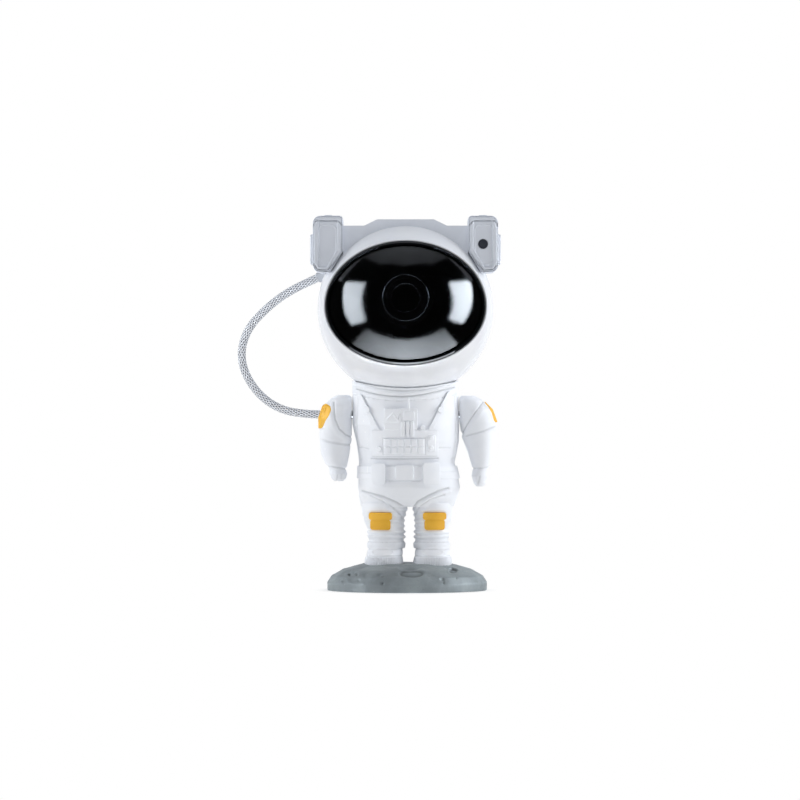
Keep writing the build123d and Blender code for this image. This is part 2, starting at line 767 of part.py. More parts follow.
belt_list = [(slab(belt_bottom, belt_top), belt_rise)]
belt_list += [(front_block(x, z, w, h, corner), rise) for x, z, w, h, corner, rise in belt_blocks]
with BuildPart() as belt:
    add(clothe(belt_list, torso_stations, torso_body))
save(belt, "belt")

key_places = [
    (console_key_centre[0] + (column - (console_key_columns - 1) / 2) * console_key_pitch[0],
     console_key_centre[1] + (row - (console_key_rows - 1) / 2) * console_key_pitch[1])
    for column in range(console_key_columns) for row in range(console_key_rows)
]
relief_list = [(front_block(x, z, w, h, corner), rise) for x, z, w, h, corner, rise in console_blocks]
relief_list += [(front_block(x, z, *console_key_size, console_key_corner), console_key_rise) for x, z in key_places]
relief_list += [(front_block(x, console_tube_height, *console_tube_size, console_tube_corner), console_tube_rise)
                for x in console_tubes]
relief_list += [(front_disc(x, z, radius), console_button_rise) for x, z, radius in console_buttons]
for start, end, knob in chest_straps:
    share = knob / hypot(end[0] - start[0], end[1] - start[1])
    knob_place = (start[0] + (end[0] - start[0]) * share, start[1] + (end[1] - start[1]) * share)
    relief_list.append((front_bar(start, end, strap_width), strap_rise))
    relief_list.append((front_disc(*knob_place, strap_knob_radius), strap_knob_rise))

_, _, _, chest_half_depth = torso_section((spike_bottom + spike_top) / 2)
with BuildPart() as chest_console:
    add(clothe(relief_list, torso_stations, torso_body))
    with Locations((spike_x, -chest_half_depth - spike_stand_off, spike_bottom)):
        Cylinder(spike_radius, spike_top - spike_bottom, align=FROM_BASE)
save(chest_console, "chest_console")

# ---------------------------------------------------------------- neck
deck_x, deck_y, torso_half_width, torso_half_depth = torso_section(deck_bottom)
with BuildPart() as neck_bearing:
    with BuildSketch(Plane(origin=(deck_x, deck_y, deck_bottom))):
        Ellipse(torso_half_width - suit_wall - insert_gap, torso_half_depth - suit_wall - insert_gap)
    extrude(amount=deck_thickness)
    with Locations((0, 0, hub_bottom)):
        Cylinder(bush_radius, deck_bottom - hub_bottom, align=FROM_BASE)
        Cylinder(hub_radius + running_gap, hub_length, align=FROM_BASE, mode=Mode.SUBTRACT)
save(neck_bearing, "neck_bearing")

cup_reach = ball(cup_outer)
cup_space = ball(cup_inner)
with BuildPart() as neck_cup:
    with Locations((0, 0, cup_bottom)):
        Cylinder(cup_radius, cup_radius, align=FROM_BASE)
    add(cup_reach, mode=Mode.INTERSECT)
    with Locations((0, 0, hub_bottom)):
        Cylinder(hub_radius, hub_length + cup_thickness / 2, align=FROM_BASE)
    add(cup_space, mode=Mode.SUBTRACT)
    with Locations((0, 0, magnet_top - magnet_length)):
        Cylinder(magnet_radius + running_gap, magnet_length + cup_thickness, align=FROM_BASE, mode=Mode.SUBTRACT)
save(neck_cup, "neck_cup")

with BuildPart() as neck_magnet:
    with Locations((0, 0, magnet_top - magnet_length)):
        Cylinder(magnet_radius, magnet_length, align=FROM_BASE)
save(neck_magnet, "neck_magnet")

# ---------------------------------------------------------------- control board in the torso
with BuildPart() as control_board:
    with Locations((0, control_board_back - board_thickness / 2, control_board_height)):
        Box(control_board_size[0], board_thickness, control_board_size[1])
    for x, z, width, deep, tall in control_board_chips:
        with Locations((x, control_board_back - board_thickness, control_board_height + z)):
            Box(width, deep, tall, align=(Align.CENTER, Align.MAX, Align.CENTER))
save(control_board, "control_board")

# ---------------------------------------------------------------- arms
for name, side in SIDES.items():
    stations = arm_stations[name]
    patch_bottom, patch_top = arm_patch_heights[name]
    with BuildPart() as arm_patch:
        with Locations((side * (arm_patch_edges[name] + shoulder_face / 2), 0, shoulder_height + patch_bottom)):
            Box(shoulder_face, 2 * arm_patch_half_depth, patch_top - patch_bottom, align=FROM_BASE)
        add(ellipse_stack(stations, arm_patch_rise, shoulder_height), mode=Mode.INTERSECT)
        add(ellipse_stack(stations, -inlay_depth, shoulder_height), mode=Mode.SUBTRACT)
    save(arm_patch, f"{name}_arm_patch")

    with BuildPart() as arm:
        add(ellipse_stack(stations, 0, shoulder_height))
        add(arm_patch.part, mode=Mode.SUBTRACT)
        Box(2 * shoulder_face, 2 * shoulder_face, beyond, align=FROM_BASE, mode=Mode.SUBTRACT)
        with Locations(outward_from(side, pin_inner, 0, shoulder_height)):
            Cylinder(pin_radius, pin_outer - pin_inner, align=FROM_BASE, mode=Mode.SUBTRACT)
    save(arm, f"{name}_arm")

    with BuildPart() as shoulder_pin:
        with Locations(outward_from(side, pin_inner, 0, shoulder_height)):
            Cylinder(pin_radius, pin_outer - pin_inner, align=FROM_BASE)
            Cylinder(pin_head_radius, pin_head_height, align=FROM_BASE)
    save(shoulder_pin, f"{name}_shoulder_pin")

# ---------------------------------------------------------------- backpack
pack_height = pack_top - pack_bottom
pack_middle = (pack_top + pack_bottom) / 2
gland_start = Vector(*hose_points[0])

with BuildPart() as backpack_shell:
    with BuildSketch(front_plane(pack_back)):
        with Locations((0, pack_middle)):
            RectangleRounded(2 * pack_half_width, pack_height, pack_corner)
    extrude(amount=pack_back)
    with BuildSketch(front_plane(pack_back)):
        with Locations((0, pack_middle)):
            RectangleRounded(2 * (pack_half_width - pack_wall), pack_height - 2 * pack_wall,
                             pack_corner - pack_wall)
    extrude(amount=pack_back, mode=Mode.SUBTRACT)
    for x, z in pack_screw_places:
        with Locations(forward_from(x, cover_inner, z)):
            Cylinder(boss_radius, cover_inner, align=FROM_BASE)
            Cylinder(screw_radius, pack_screw_length, align=FROM_BASE, mode=Mode.SUBTRACT)
    with Locations(Location((2 * pack_wall - pack_half_width, gland_start.Y, gland_start.Z), (0, -90, 0))):
        Cylinder(gland_tip_radius + running_gap, 3 * pack_wall, align=FROM_BASE, mode=Mode.SUBTRACT)
    add(torso_body, mode=Mode.SUBTRACT)
save(backpack_shell, "backpack_shell")

with BuildPart() as backpack_cover:
    with BuildSketch(front_plane(pack_back)):
        with Locations((0, pack_middle)):
            RectangleRounded(2 * (pack_half_width - pack_wall - running_gap),
                             pack_height - 2 * (pack_wall + running_gap), pack_corner - pack_wall)
    extrude(amount=pack_cover_thickness)
    for x in (-1, 1):
        for z in (-1, 1):
            post = (x * (board_size[0] / 2 - board_hole_inset), cover_inner,
                    board_centre_height + z * (board_size[1] / 2 - board_hole_inset))
            with Locations(forward_from(*post)):
                Cylinder(board_post_radius, cover_inner - board_back, align=FROM_BASE)
    for x, z in button_places.values():
        with Locations(forward_from(x, pack_back, z)):
            Cylinder(button_radius + sliding_gap, pack_cover_thickness, align=FROM_BASE, mode=Mode.SUBTRACT)
    for x, z in pack_screw_places:
        with Locations(forward_from(x, pack_back, z)):
            Cylinder(screw_radius + running_gap, pack_cover_thickness, align=FROM_BASE, mode=Mode.SUBTRACT)
            Cylinder(screw_head_radius + running_gap, screw_head_height, align=FROM_BASE, mode=Mode.SUBTRACT)
    with BuildSketch(front_plane(pack_back)):
        with Locations((0, usb_centre_height)):
            RectangleRounded(usb_width + 2 * sliding_gap, usb_height + 2 * sliding_gap, usb_height / 2)
    extrude(amount=pack_cover_thickness, mode=Mode.SUBTRACT)
save(backpack_cover, "backpack_cover")

with BuildPart() as backpack_screws:
    for x, z in pack_screw_places:
        with Locations(forward_from(x, pack_back, z)):
            Cylinder(screw_head_radius, screw_head_height, align=FROM_BASE)
            Cylinder(screw_radius, pack_cover_thickness + pack_screw_length - screw_end_gap, align=FROM_BASE)
save(backpack_screws, "backpack_screws")

with BuildPart() as button_board:
    with Locations((0, board_back - board_thickness / 2, board_centre_height)):
        Box(board_size[0], board_thickness, board_size[1])
    for x, z in button_places.values():
        with Locations(forward_from(x, switch_top, z)):
            Cylinder(switch_size / 2, switch_top - board_back, align=FROM_BASE)
save(button_board, "button_board")

with BuildPart() as usb_socket:
    with BuildSketch(front_plane(pack_back - usb_recess)):
        with Locations((0, usb_centre_height)):
            RectangleRounded(usb_width, usb_height, 0.49 * usb_height)
    extrude(amount=usb_depth)
    usb_hollow = usb_height - 2 * usb_shell
    with BuildSketch(front_plane(pack_back)):
        with Locations((0, usb_centre_height)):
            RectangleRounded(usb_width - 2 * usb_shell, usb_hollow, 0.49 * usb_hollow)
    extrude(amount=usb_recess + usb_depth - usb_back_wall, mode=Mode.SUBTRACT)
    with Locations((0, board_back + usb_back_wall, usb_centre_height)):
        Box(*usb_tongue, align=(Align.CENTER, Align.MIN, Align.CENTER))
save(usb_socket, "usb_socket")

for name, (x, z) in button_places.items():
    with BuildPart() as button:
        with Locations(forward_from(x, pack_back + button_rise, z)):
            Cylinder(button_radius, button_rise + pack_cover_thickness + insert_gap + button_flange_thickness,
                     align=FROM_BASE)
        with Locations(forward_from(x, cover_inner - insert_gap, z)):
            Cylinder(button_radius + button_flange, button_flange_thickness, align=FROM_BASE)
        chamfer(button.edges().filter_by(GeomType.CIRCLE).sort_by(Axis.Y)[-1], button_edge)
    save(button, name)

# ---------------------------------------------------------------- helmet
helmet_inner_ball = ball(helmet_inside)
visor_opening = visor_cone()
hose_end = Vector(*hose_points[-1])
hose_axis = (hose_end - Vector(*hose_points[-2])).normalized()
from_centre = hose_end - Vector(*head_centre)
along = from_centre.dot(hose_axis)
gland_to_shell = -along - sqrt(along**2 - from_centre.dot(from_centre) + helmet_radius**2)
gland_place = Plane(origin=hose_end, z_dir=hose_axis)

frame_outline = (
    (-frame_half_width, head_centre_height), (-frame_half_width, frame_shoulder_height),
    (-frame_slope_end, frame_shoulder_height), (-frame_flat_half, frame_top),
    (frame_flat_half, frame_top), (frame_slope_end, frame_shoulder_height),
    (frame_half_width, frame_shoulder_height), (frame_half_width, head_centre_height),
)
with BuildPart() as frame_space:
    with BuildSketch(front_plane(frame_back)):
        with BuildLine():
            Polyline(*frame_outline, close=True)
        make_face()
    extrude(amount=frame_back - frame_front)
    add(helmet_inner_ball, mode=Mode.SUBTRACT)

with BuildPart() as crown_frame:
    add(frame_space.part)
    top_edges = crown_frame.edges().filter_by(Axis.Y).group_by(Axis.Z)[-1]
    fillet(top_edges, frame_corner)
    for side in SIDES.values():
        with Locations((side * (frame_half_width - frame_wall), frame_front + frame_wall, head_centre_height)):
            Box(frame_pocket_width, frame_back - frame_front - 2 * frame_wall,
                frame_shoulder_height - frame_wall - head_centre_height,
                align=(Align.MAX if side > 0 else Align.MIN, Align.MIN, Align.MIN), mode=Mode.SUBTRACT)
save(crown_frame, "crown_frame")

post_distance = helmet_inside - helmet_post_inset
post_x = post_distance * cos(radians(helmet_post_angle))
post_z = post_distance * sin(radians(helmet_post_angle))
post_places = [(sx * post_x, head_centre_height + sz * post_z) for sx in (-1, 1) for sz in (-1, 1)]
screw_recess_depth = helmet_radius - helmet_screw_seat
vent_edge = hypot(vent_size[0] / 2, vent_drop + vent_slots * vent_pitch / 2)
vent_depth = helmet_radius - sqrt(helmet_inside**2 - vent_edge**2) + helmet_wall
with BuildPart() as helmet_posts:
    for x, z in post_places:
        with Locations(forward_from(x, helmet_radius, z)):
            Cylinder(helmet_post_radius, 2 * helmet_radius, align=FROM_BASE)
    add(ball(helmet_radius - helmet_wall / 4), mode=Mode.INTERSECT)
    add(visor_cone(visor_flange + insert_gap), mode=Mode.SUBTRACT)
    with Locations((0, bulkhead_front, head_centre_height)):
        Box(2 * helmet_radius, bulkhead_thickness, 2 * helmet_radius,
            align=(Align.CENTER, Align.MIN, Align.CENTER), mode=Mode.SUBTRACT)

with BuildPart() as helmet_whole:
    add(ball(helmet_radius))
    add(helmet_inner_ball, mode=Mode.SUBTRACT)
    add(helmet_posts.part)
    add(frame_space.part, mode=Mode.SUBTRACT)
    add(visor_opening, mode=Mode.SUBTRACT)
    for x, z in post_places:
        with Locations(forward_from(x, helmet_radius, z)):
            Cylinder(screw_head_radius + running_gap, screw_recess_depth, align=FROM_BASE, mode=Mode.SUBTRACT)
            Cylinder(screw_radius, screw_recess_depth + helmet_screw_length + screw_end_gap, align=FROM_BASE,
                     mode=Mode.SUBTRACT)
    with Locations(gland_place.location):
        Cylinder(gland_radius + running_gap, gland_to_shell + gland_inside, align=FROM_BASE, mode=Mode.SUBTRACT)
    for index in range(vent_slots):
        height = head_centre_height - vent_drop + (index - (vent_slots - 1) / 2) * vent_pitch
        with Locations((0, helmet_radius, height)):
            Box(vent_size[0], 2 * vent_depth, vent_size[1], mode=Mode.SUBTRACT)

with BuildPart() as helmet_front_shell:
    add(helmet_whole.part)
    split(bisect_by=front_plane(seam_y), keep=Keep.TOP)
save(helmet_front_shell, "helmet_front_shell")

with BuildPart() as helmet_rear_shell:
    add(helmet_whole.part)
    split(bisect_by=front_plane(seam_y), keep=Keep.BOTTOM)
save(helmet_rear_shell, "helmet_rear_shell")

with BuildPart() as helmet_screws:
    for x, z in post_places:
        with Locations(forward_from(x, helmet_screw_seat + screw_head_height, z)):
            Cylinder(screw_head_radius, screw_head_height, align=FROM_BASE)
            Cylinder(screw_radius - running_gap, screw_head_height + helmet_screw_length, align=FROM_BASE)
save(helmet_screws, "helmet_screws")

with BuildPart() as visor:
    add(ball(helmet_inside - seat_gap))
    add(ball(visor_inside), mode=Mode.SUBTRACT)
    add(visor_cone(visor_flange), mode=Mode.INTERSECT)
save(visor, "visor")

with BuildPart() as visor_bezel:
    add(ball(helmet_inside + bezel_thickness))
    add(helmet_inner_ball, mode=Mode.SUBTRACT)
    add(visor_cone(-seat_gap), mode=Mode.INTERSECT)
    add(visor_cone(-bezel_width), mode=Mode.SUBTRACT)
save(visor_bezel, "visor_bezel")

with BuildPart() as keeper_plate:
    with Locations((0, 0, head_centre_height - helmet_radius)):
        Cylinder(keeper_radius, helmet_radius, align=FROM_BASE)
    add(ball(helmet_inside - seat_gap), mode=Mode.INTERSECT)
    add(ball(helmet_inside - seat_gap - keeper_thickness), mode=Mode.SUBTRACT)
save(keeper_plate, "keeper_plate")

# ---------------------------------------------------------------- ear pods
shell_clearance = ball(helmet_radius + seat_gap)


def pod_outline(side, inset):
    """Front-view outline of a pod, shrunk by an inset."""
    chamfer_width, chamfer_height = pod_chamfer
    corners = (
        (side * frame_half_width, pod_top), (side * pod_outer, pod_top), (side * pod_outer, pod_bottom),
        (side * (frame_half_width + chamfer_width), pod_bottom),
        (side * frame_half_width, pod_bottom + chamfer_height),
    )
    with BuildSketch(front_plane(pod_front), mode=Mode.PRIVATE) as outline:
        with BuildLine():
            Polyline(*corners, close=True)
        make_face()
        outer_side = outline.vertices().group_by(Axis.X)[-1 if side > 0 else 0]
        fillet(outer_side, pod_corner)
        inner_side = outline.vertices().group_by(Axis.X)[0 if side > 0 else -1]
        fillet(inner_side, pod_inner_corner)
        if inset:
            offset(amount=-inset, mode=Mode.REPLACE)
    return outline.sketch


bulge_from_front, bulge_from_back, bulge_from_bottom, bulge_from_top = pod_bulge_inset
bulge_depth = pod_back - pod_front - bulge_from_front - bulge_from_back
bulge_height = pod_height - bulge_from_bottom - bulge_from_top
bump_width, bump_depth, bump_height = pod_bump
for name, side in SIDES.items():
    pod_full = pod_outline(side, 0)
    pod_hollow = pod_outline(side, pod_wall)
    pod_seat = pod_outline(side, pod_cover_inset)
    cover_face = pod_outline(side, pod_cover_inset + running_gap)
    pod_panel = pod_outline(side, pod_cover_inset + pod_panel_inset)
    with BuildPart() as pod:
        extrude(pod_full, amount=-(pod_back - pod_front))
        with Locations((side * (pod_outer - pod_wall), pod_front + bulge_from_front, pod_bottom + bulge_from_bottom)):
            Box(pod_wall + pod_bulge_rise, bulge_depth, bulge_height,
                align=(Align.MIN if side > 0 else Align.MAX, Align.MIN, Align.MIN))
        with Locations((side * (pod_outer - pod_width / 2), (pod_front + pod_back) / 2, pod_top - pod_wall)):
            Box(bump_width, bump_depth, pod_wall + bump_height, align=FROM_BASE)
        extrude(pod_hollow, amount=-(pod_back - pod_wall - pod_front), mode=Mode.SUBTRACT)
        if side > 0:
            extrude(pod_hollow, amount=-(pod_rib_front + pod_rib_thickness - pod_front))
            extrude(pod_hollow, amount=-(pod_rib_front - pod_front), mode=Mode.SUBTRACT)
        extrude(pod_seat, amount=-(pod_cover_thickness - pod_cover_rise), mode=Mode.SUBTRACT)
        add(shell_clearance, mode=Mode.SUBTRACT)
    save(pod, f"{name}_ear_pod")

    with BuildPart() as pod_cover:
        extrude(cover_face, amount=-(pod_cover_thickness - pod_cover_rise))
        extrude(cover_face, amount=pod_cover_rise)
        extrude(pod_panel, amount=pod_cover_rise, mode=Mode.SUBTRACT)
        extrude(pod_panel, amount=-(pod_panel_depth - pod_cover_rise), mode=Mode.SUBTRACT)
        if side > 0:
            with Locations(forward_from(laser_x, pod_front + pod_cover_thickness, laser_z)):
                Cylinder(window_radius + running_gap, 2 * pod_cover_thickness, align=FROM_BASE,
                         mode=Mode.SUBTRACT)
    save(pod_cover, f"{name}_pod_cover")

window_back = pod_front + pod_cover_thickness - pod_cover_rise
with BuildPart() as laser_window:
    with Locations(forward_from(laser_x, window_back, laser_z)):
        Cylinder(window_radius, window_thickness, align=FROM_BASE)
save(laser_window, "laser_window")

with BuildPart() as laser_module:
    with Locations(forward_from(laser_x, pod_rib_front, laser_z)):
        Cylinder(laser_radius, laser_length, align=FROM_BASE)
save(laser_module, "laser_module")

with BuildPart() as grating_motor:
    with Locations(forward_from(laser_x, pod_rib_front, grating_z)):
        Cylinder(grating_motor_radius, laser_length, align=FROM_BASE)
    with Locations(forward_from(laser_x, laser_front + grating_shaft_depth, grating_z)):
        Cylinder(grating_shaft_radius + running_gap, grating_shaft_depth, align=FROM_BASE, mode=Mode.SUBTRACT)
save(grating_motor, "grating_motor")

grating_back = laser_front - insert_gap
with BuildPart() as grating_disc:
    with Locations(forward_from(laser_x, grating_back, grating_z)):
        Cylinder(grating_radius, grating_thickness, align=FROM_BASE)
        Cylinder(grating_hub_radius, grating_thickness + grating_hub_rise, align=FROM_BASE)
    with Locations(forward_from(laser_x, grating_back + grating_shaft_depth, grating_z)):
        Cylinder(grating_shaft_radius, grating_shaft_depth + grating_thickness, align=FROM_BASE)
save(grating_disc, "grating_disc")

# ---------------------------------------------------------------- light engine
keeper_top = sqrt((helmet_inside - seat_gap - keeper_thickness) ** 2 - keeper_radius**2)
keeper_clear_height = helmet_radius - keeper_top + insert_gap
opening_distance = bulkhead_radius - bulkhead_opening_inset
with BuildPart() as engine_chassis:
    with Locations(forward_from(0, engine_rear, head_centre_height)):
        Cylinder(bulkhead_radius, bulkhead_thickness, align=FROM_BASE)
    with Locations(forward_from(0, bulkhead_front, engine_height)):
        Cylinder(engine_tube_radius, bulkhead_front - engine_front, align=FROM_BASE)
        Cylinder(engine_bore, bulkhead_front - engine_front, align=FROM_BASE, mode=Mode.SUBTRACT)
    with Locations((wheel_x - wheel_radius - wheel_slot_clearance, wheel_front - wheel_slot_gap, engine_height)):
        Box(2 * wheel_radius, wheel_thickness + 2 * wheel_slot_gap, 2 * wheel_radius,
            align=(Align.MIN, Align.MIN, Align.CENTER), mode=Mode.SUBTRACT)
    for angle in bulkhead_opening_angles:
        x = opening_distance * cos(radians(angle))
        z = opening_distance * sin(radians(angle))
        with Locations(forward_from(x, engine_rear, head_centre_height + z)):
            Cylinder(bulkhead_opening_radius, bulkhead_thickness, align=FROM_BASE, mode=Mode.SUBTRACT)
    with Locations((0, 0, head_centre_height - helmet_radius)):
        Cylinder(keeper_radius + insert_gap, keeper_clear_height, align=FROM_BASE, mode=Mode.SUBTRACT)
    for x, z in post_places:
        with Locations(forward_from(x, engine_rear, z)):
            Cylinder(screw_radius + running_gap, bulkhead_thickness, align=FROM_BASE, mode=Mode.SUBTRACT)
save(engine_chassis, "engine_chassis")

with BuildPart() as led_board:
    with Locations(forward_from(0, bulkhead_front, engine_height)):
        Cylinder(led_board_radius, led_board_thickness, align=FROM_BASE)
        Cylinder(led_radius, led_board_thickness + led_height, align=FROM_BASE)
save(led_board, "led_board")

with BuildPart() as heat_sink:
    with Locations((0, engine_rear, engine_height)):
        Box(sink_size[0], sink_base, sink_size[1], align=(Align.CENTER, Align.MIN, Align.CENTER))
    for index in range(sink_fins):
        x = (index / (sink_fins - 1) - 0.5) * (sink_size[0] - sink_fin_thickness)
        with Locations((x, engine_rear, engine_height)):
            Box(sink_fin_thickness, sink_depth, sink_size[1], align=(Align.CENTER, Align.MIN, Align.CENTER))
save(heat_sink, "heat_sink")


def lens_solid(radius, y_back, thickness, edge):
    """Plano-convex lens on the engine's axis, its flat face at the back, with a cylindrical edge."""
    bulge = thickness - edge
    curve = (radius**2 + bulge**2) / (2 * bulge)
    with BuildPart(mode=Mode.PRIVATE) as lens:
        with Locations(forward_from(0, y_back, engine_height)):
            Cylinder(radius, thickness + bulge, align=FROM_BASE)
        with Locations((0, y_back - thickness + curve, engine_height)):
            Sphere(curve, mode=Mode.INTERSECT)
    return lens.part


with BuildPart() as condenser_lens:
    add(lens_solid(engine_bore - seat_gap, condenser_y, condenser_thickness, condenser_edge))
save(condenser_lens, "condenser_lens")

barrel_bore = barrel_radius - barrel_wall
with BuildPart() as lens_barrel:
    with Locations(forward_from(0, barrel_back, engine_height)):
        Cylinder(barrel_radius, barrel_back - barrel_front, align=FROM_BASE)
        Cylinder(barrel_bore, barrel_back - barrel_front, align=FROM_BASE, mode=Mode.SUBTRACT)
    with Locations(forward_from(0, barrel_ring_y, engine_height)):
        Cylinder(barrel_radius - barrel_wall / 2, barrel_ring_thickness, align=FROM_BASE)
        Cylinder(barrel_ring_radius, barrel_ring_thickness, align=FROM_BASE, mode=Mode.SUBTRACT)
save(lens_barrel, "lens_barrel")

with BuildPart() as projection_lens:
    add(lens_solid(barrel_bore - seat_gap, barrel_ring_y + lens_thickness + seat_gap, lens_thickness, lens_edge))
save(projection_lens, "projection_lens")

with BuildPart() as wheel_motor:
    with Locations(forward_from(wheel_x, bulkhead_front, wheel_z)):
        Cylinder(motor_radius, motor_length, align=FROM_BASE)
        Cylinder(wheel_shaft_radius + running_gap, motor_length, align=FROM_BASE, mode=Mode.SUBTRACT)
save(wheel_motor, "wheel_motor")

hub_back = bulkhead_front - motor_length - insert_gap
shaft_back = bulkhead_front - wheel_shaft_seat
dimple_curve = (ripple_dimple_radius**2 + ripple_dimple_depth**2) / (2 * ripple_dimple_depth)
with BuildPart() as ripple_wheel:
    with Locations(forward_from(wheel_x, wheel_rear, wheel_z)):
        Cylinder(wheel_radius, wheel_thickness, align=FROM_BASE)
    with Locations(forward_from(wheel_x, wheel_rear + dimple_curve - ripple_dimple_depth, wheel_z)):
        with PolarLocations(wheel_radius * ripple_ring_share, ripple_dimples):
            Sphere(dimple_curve, mode=Mode.SUBTRACT)
    with Locations(forward_from(wheel_x, hub_back, wheel_z)):
        Cylinder(wheel_hub_radius, hub_back - wheel_front + wheel_hub_rise, align=FROM_BASE)
    with Locations(forward_from(wheel_x, shaft_back, wheel_z)):
        Cylinder(wheel_shaft_radius, shaft_back - wheel_rear, align=FROM_BASE)
save(ripple_wheel, "ripple_wheel")

# ---------------------------------------------------------------- hose and its glands
def corner_radius(before, corner, after):
    """Radius of the arc at one point of the route: as large as its two runs allow."""
    first, second = Vector(*corner) - Vector(*before), Vector(*after) - Vector(*corner)
    turn = radians(first.get_angle(second))
    return 0.45 * min(first.length, second.length) / tan(turn / 2)


hose_radii = [corner_radius(*hose_points[i - 1:i + 2]) for i in range(1, len(hose_points) - 1)]
print("hose radii", [round(radius, 1) for radius in hose_radii])
with BuildPart() as hose:
    with BuildLine() as hose_path:
        FilletPolyline(*hose_points, radius=hose_radii)
    with BuildSketch(Plane(origin=hose_path.line @ 0, z_dir=hose_path.line % 0)):
        Circle(hose_radius)
    sweep()
save(hose, "hose")
hose_length = sum(edge.length for edge in hose_path.edges())
print("hose length", round(hose_length, 1), "volume", round(hose.part.volume, 1),
      "section times length", round(pi * hose_radius**2 * hose_length, 1))

with BuildPart() as upper_hose_gland:
    with BuildSketch(gland_place):
        Circle(gland_tip_radius)
    with BuildSketch(gland_place.offset(gland_taper)):
        Circle(gland_radius)
    loft()
    with Locations(gland_place.offset(gland_taper).location):
        Cylinder(gland_radius, gland_to_shell + gland_inside - gland_taper, align=FROM_BASE)
save(upper_hose_gland, "upper_hose_gland")

with BuildPart() as lower_hose_gland:
    with Locations(Location((gland_start.X, gland_start.Y, gland_start.Z), (0, 90, 0))):
        Cylinder(gland_tip_radius, -gland_start.X - pack_half_width + pack_wall + lower_gland_inside,
                 align=FROM_BASE)
    with Locations(Location((-pack_half_width, gland_start.Y, gland_start.Z), (0, -90, 0))):
        Cylinder(lower_gland_flange, lower_gland_flange_thickness, align=FROM_BASE)
        Cone(lower_gland_flange, gland_tip_radius, -gland_start.X - pack_half_width - lower_gland_lip,
             align=FROM_BASE)
save(lower_hose_gland, "lower_hose_gland")
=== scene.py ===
"""Dresses the desk-top star projector: a small space-suited figure whose helmet holds the light engine.

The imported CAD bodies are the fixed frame. Each sub-assembly is a class that holds its sizes in
millimetres, builds its meshes and gives every part its finish.
"""

import json
import logging
import math
from dataclasses import dataclass, field
from enum import Enum

import bpy
import numpy as np
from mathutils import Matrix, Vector, noise

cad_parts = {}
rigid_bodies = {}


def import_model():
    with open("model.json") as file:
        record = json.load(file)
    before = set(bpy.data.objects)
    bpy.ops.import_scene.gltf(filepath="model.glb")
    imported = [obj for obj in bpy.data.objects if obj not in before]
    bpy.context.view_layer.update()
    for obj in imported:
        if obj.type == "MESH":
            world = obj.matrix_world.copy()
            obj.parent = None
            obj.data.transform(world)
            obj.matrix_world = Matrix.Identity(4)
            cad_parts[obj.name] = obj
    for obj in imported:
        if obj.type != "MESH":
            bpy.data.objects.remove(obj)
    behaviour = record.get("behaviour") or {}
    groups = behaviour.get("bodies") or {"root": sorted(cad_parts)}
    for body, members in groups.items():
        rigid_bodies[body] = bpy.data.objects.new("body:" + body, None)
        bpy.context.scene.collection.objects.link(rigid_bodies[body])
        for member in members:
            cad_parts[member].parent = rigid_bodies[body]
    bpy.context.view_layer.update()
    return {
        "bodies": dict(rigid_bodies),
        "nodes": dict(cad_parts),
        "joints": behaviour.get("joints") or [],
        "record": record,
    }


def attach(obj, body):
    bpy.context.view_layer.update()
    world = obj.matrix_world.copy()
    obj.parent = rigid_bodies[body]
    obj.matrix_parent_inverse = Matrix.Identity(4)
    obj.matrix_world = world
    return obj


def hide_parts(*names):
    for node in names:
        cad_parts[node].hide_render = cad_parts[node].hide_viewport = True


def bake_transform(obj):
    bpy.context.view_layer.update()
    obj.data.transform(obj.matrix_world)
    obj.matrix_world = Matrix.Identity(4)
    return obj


LOG = logging.getLogger("projector")

MM = 0.001
FULL_TURN = 2 * math.pi
FRONT_AXES = (0, 2)
FACING_GAIN = 2.2
# Width of the painted shade along pressed lines, as a share of the stroke's width.
GROOVE_SHADE_WIDTH = 0.8
BACK_SHARE = 0.8
HOSE_STRANDS = 10
COAT_ROUGHNESS = 0.06
ACRYLIC_IOR = 1.49
HEAD_CENTRE = (0.0, 0.0, 0.1695)
SMOOTH_FACTOR = 0.5
OVAL_POINTS = 29
FAR, TINY = 1e9, 1e-9

Colour = tuple[float, float, float]
Point2 = tuple[float, float]
Point3 = tuple[float, float, float]
Band = tuple[float, float]
Node = bpy.types.Node
Socket = bpy.types.NodeSocket
Piece = bpy.types.Object


class Recipe(Enum):
    """The family of shader that a finish is made with."""

    PLASTIC = "plastic"
    METAL = "metal"
    GLASS = "glass"
    BRAID = "braid"
    REGOLITH = "regolith"
    BOARD = "board"


class Side(Enum):
    """The side that a stroke is pressed into, as the way that side faces. BOTH goes right round."""

    FRONT = (0.0, -1.0, 0.0)
    BACK = (0.0, 1.0, 0.0)
    BOTH = None


@dataclass(frozen=True)
class Finish:
    """How one material of the projector looks. Sizes are in metres.

    colour and shade are the light and dark ends of its drift in tone, and drift is how fine that is.
    roughness varies by spread to each side. grain and depth are the fineness and height of its skin.
    wear_and_shade lightens the edges, as rubbing and as a painted highlight, and darkens the hollows, as dust and as
    painted shade. groove_shade is painted shade in what is pressed in. gloss is the specular level, coat is clear
    lacquer, and dark_inside is for the helmet, which is black within.
    """

    name: str
    recipe: Recipe
    colour: Colour
    shade: Colour
    roughness: float
    spread: float = 0.06
    drift: float = 60.0
    grain: float = 2600.0
    depth: float = 0.00002
    coat: float = 0.0
    wear_and_shade: float = 0.0
    gloss: float = 0.5
    groove_shade: float = 0.0
    dark_inside: bool = False


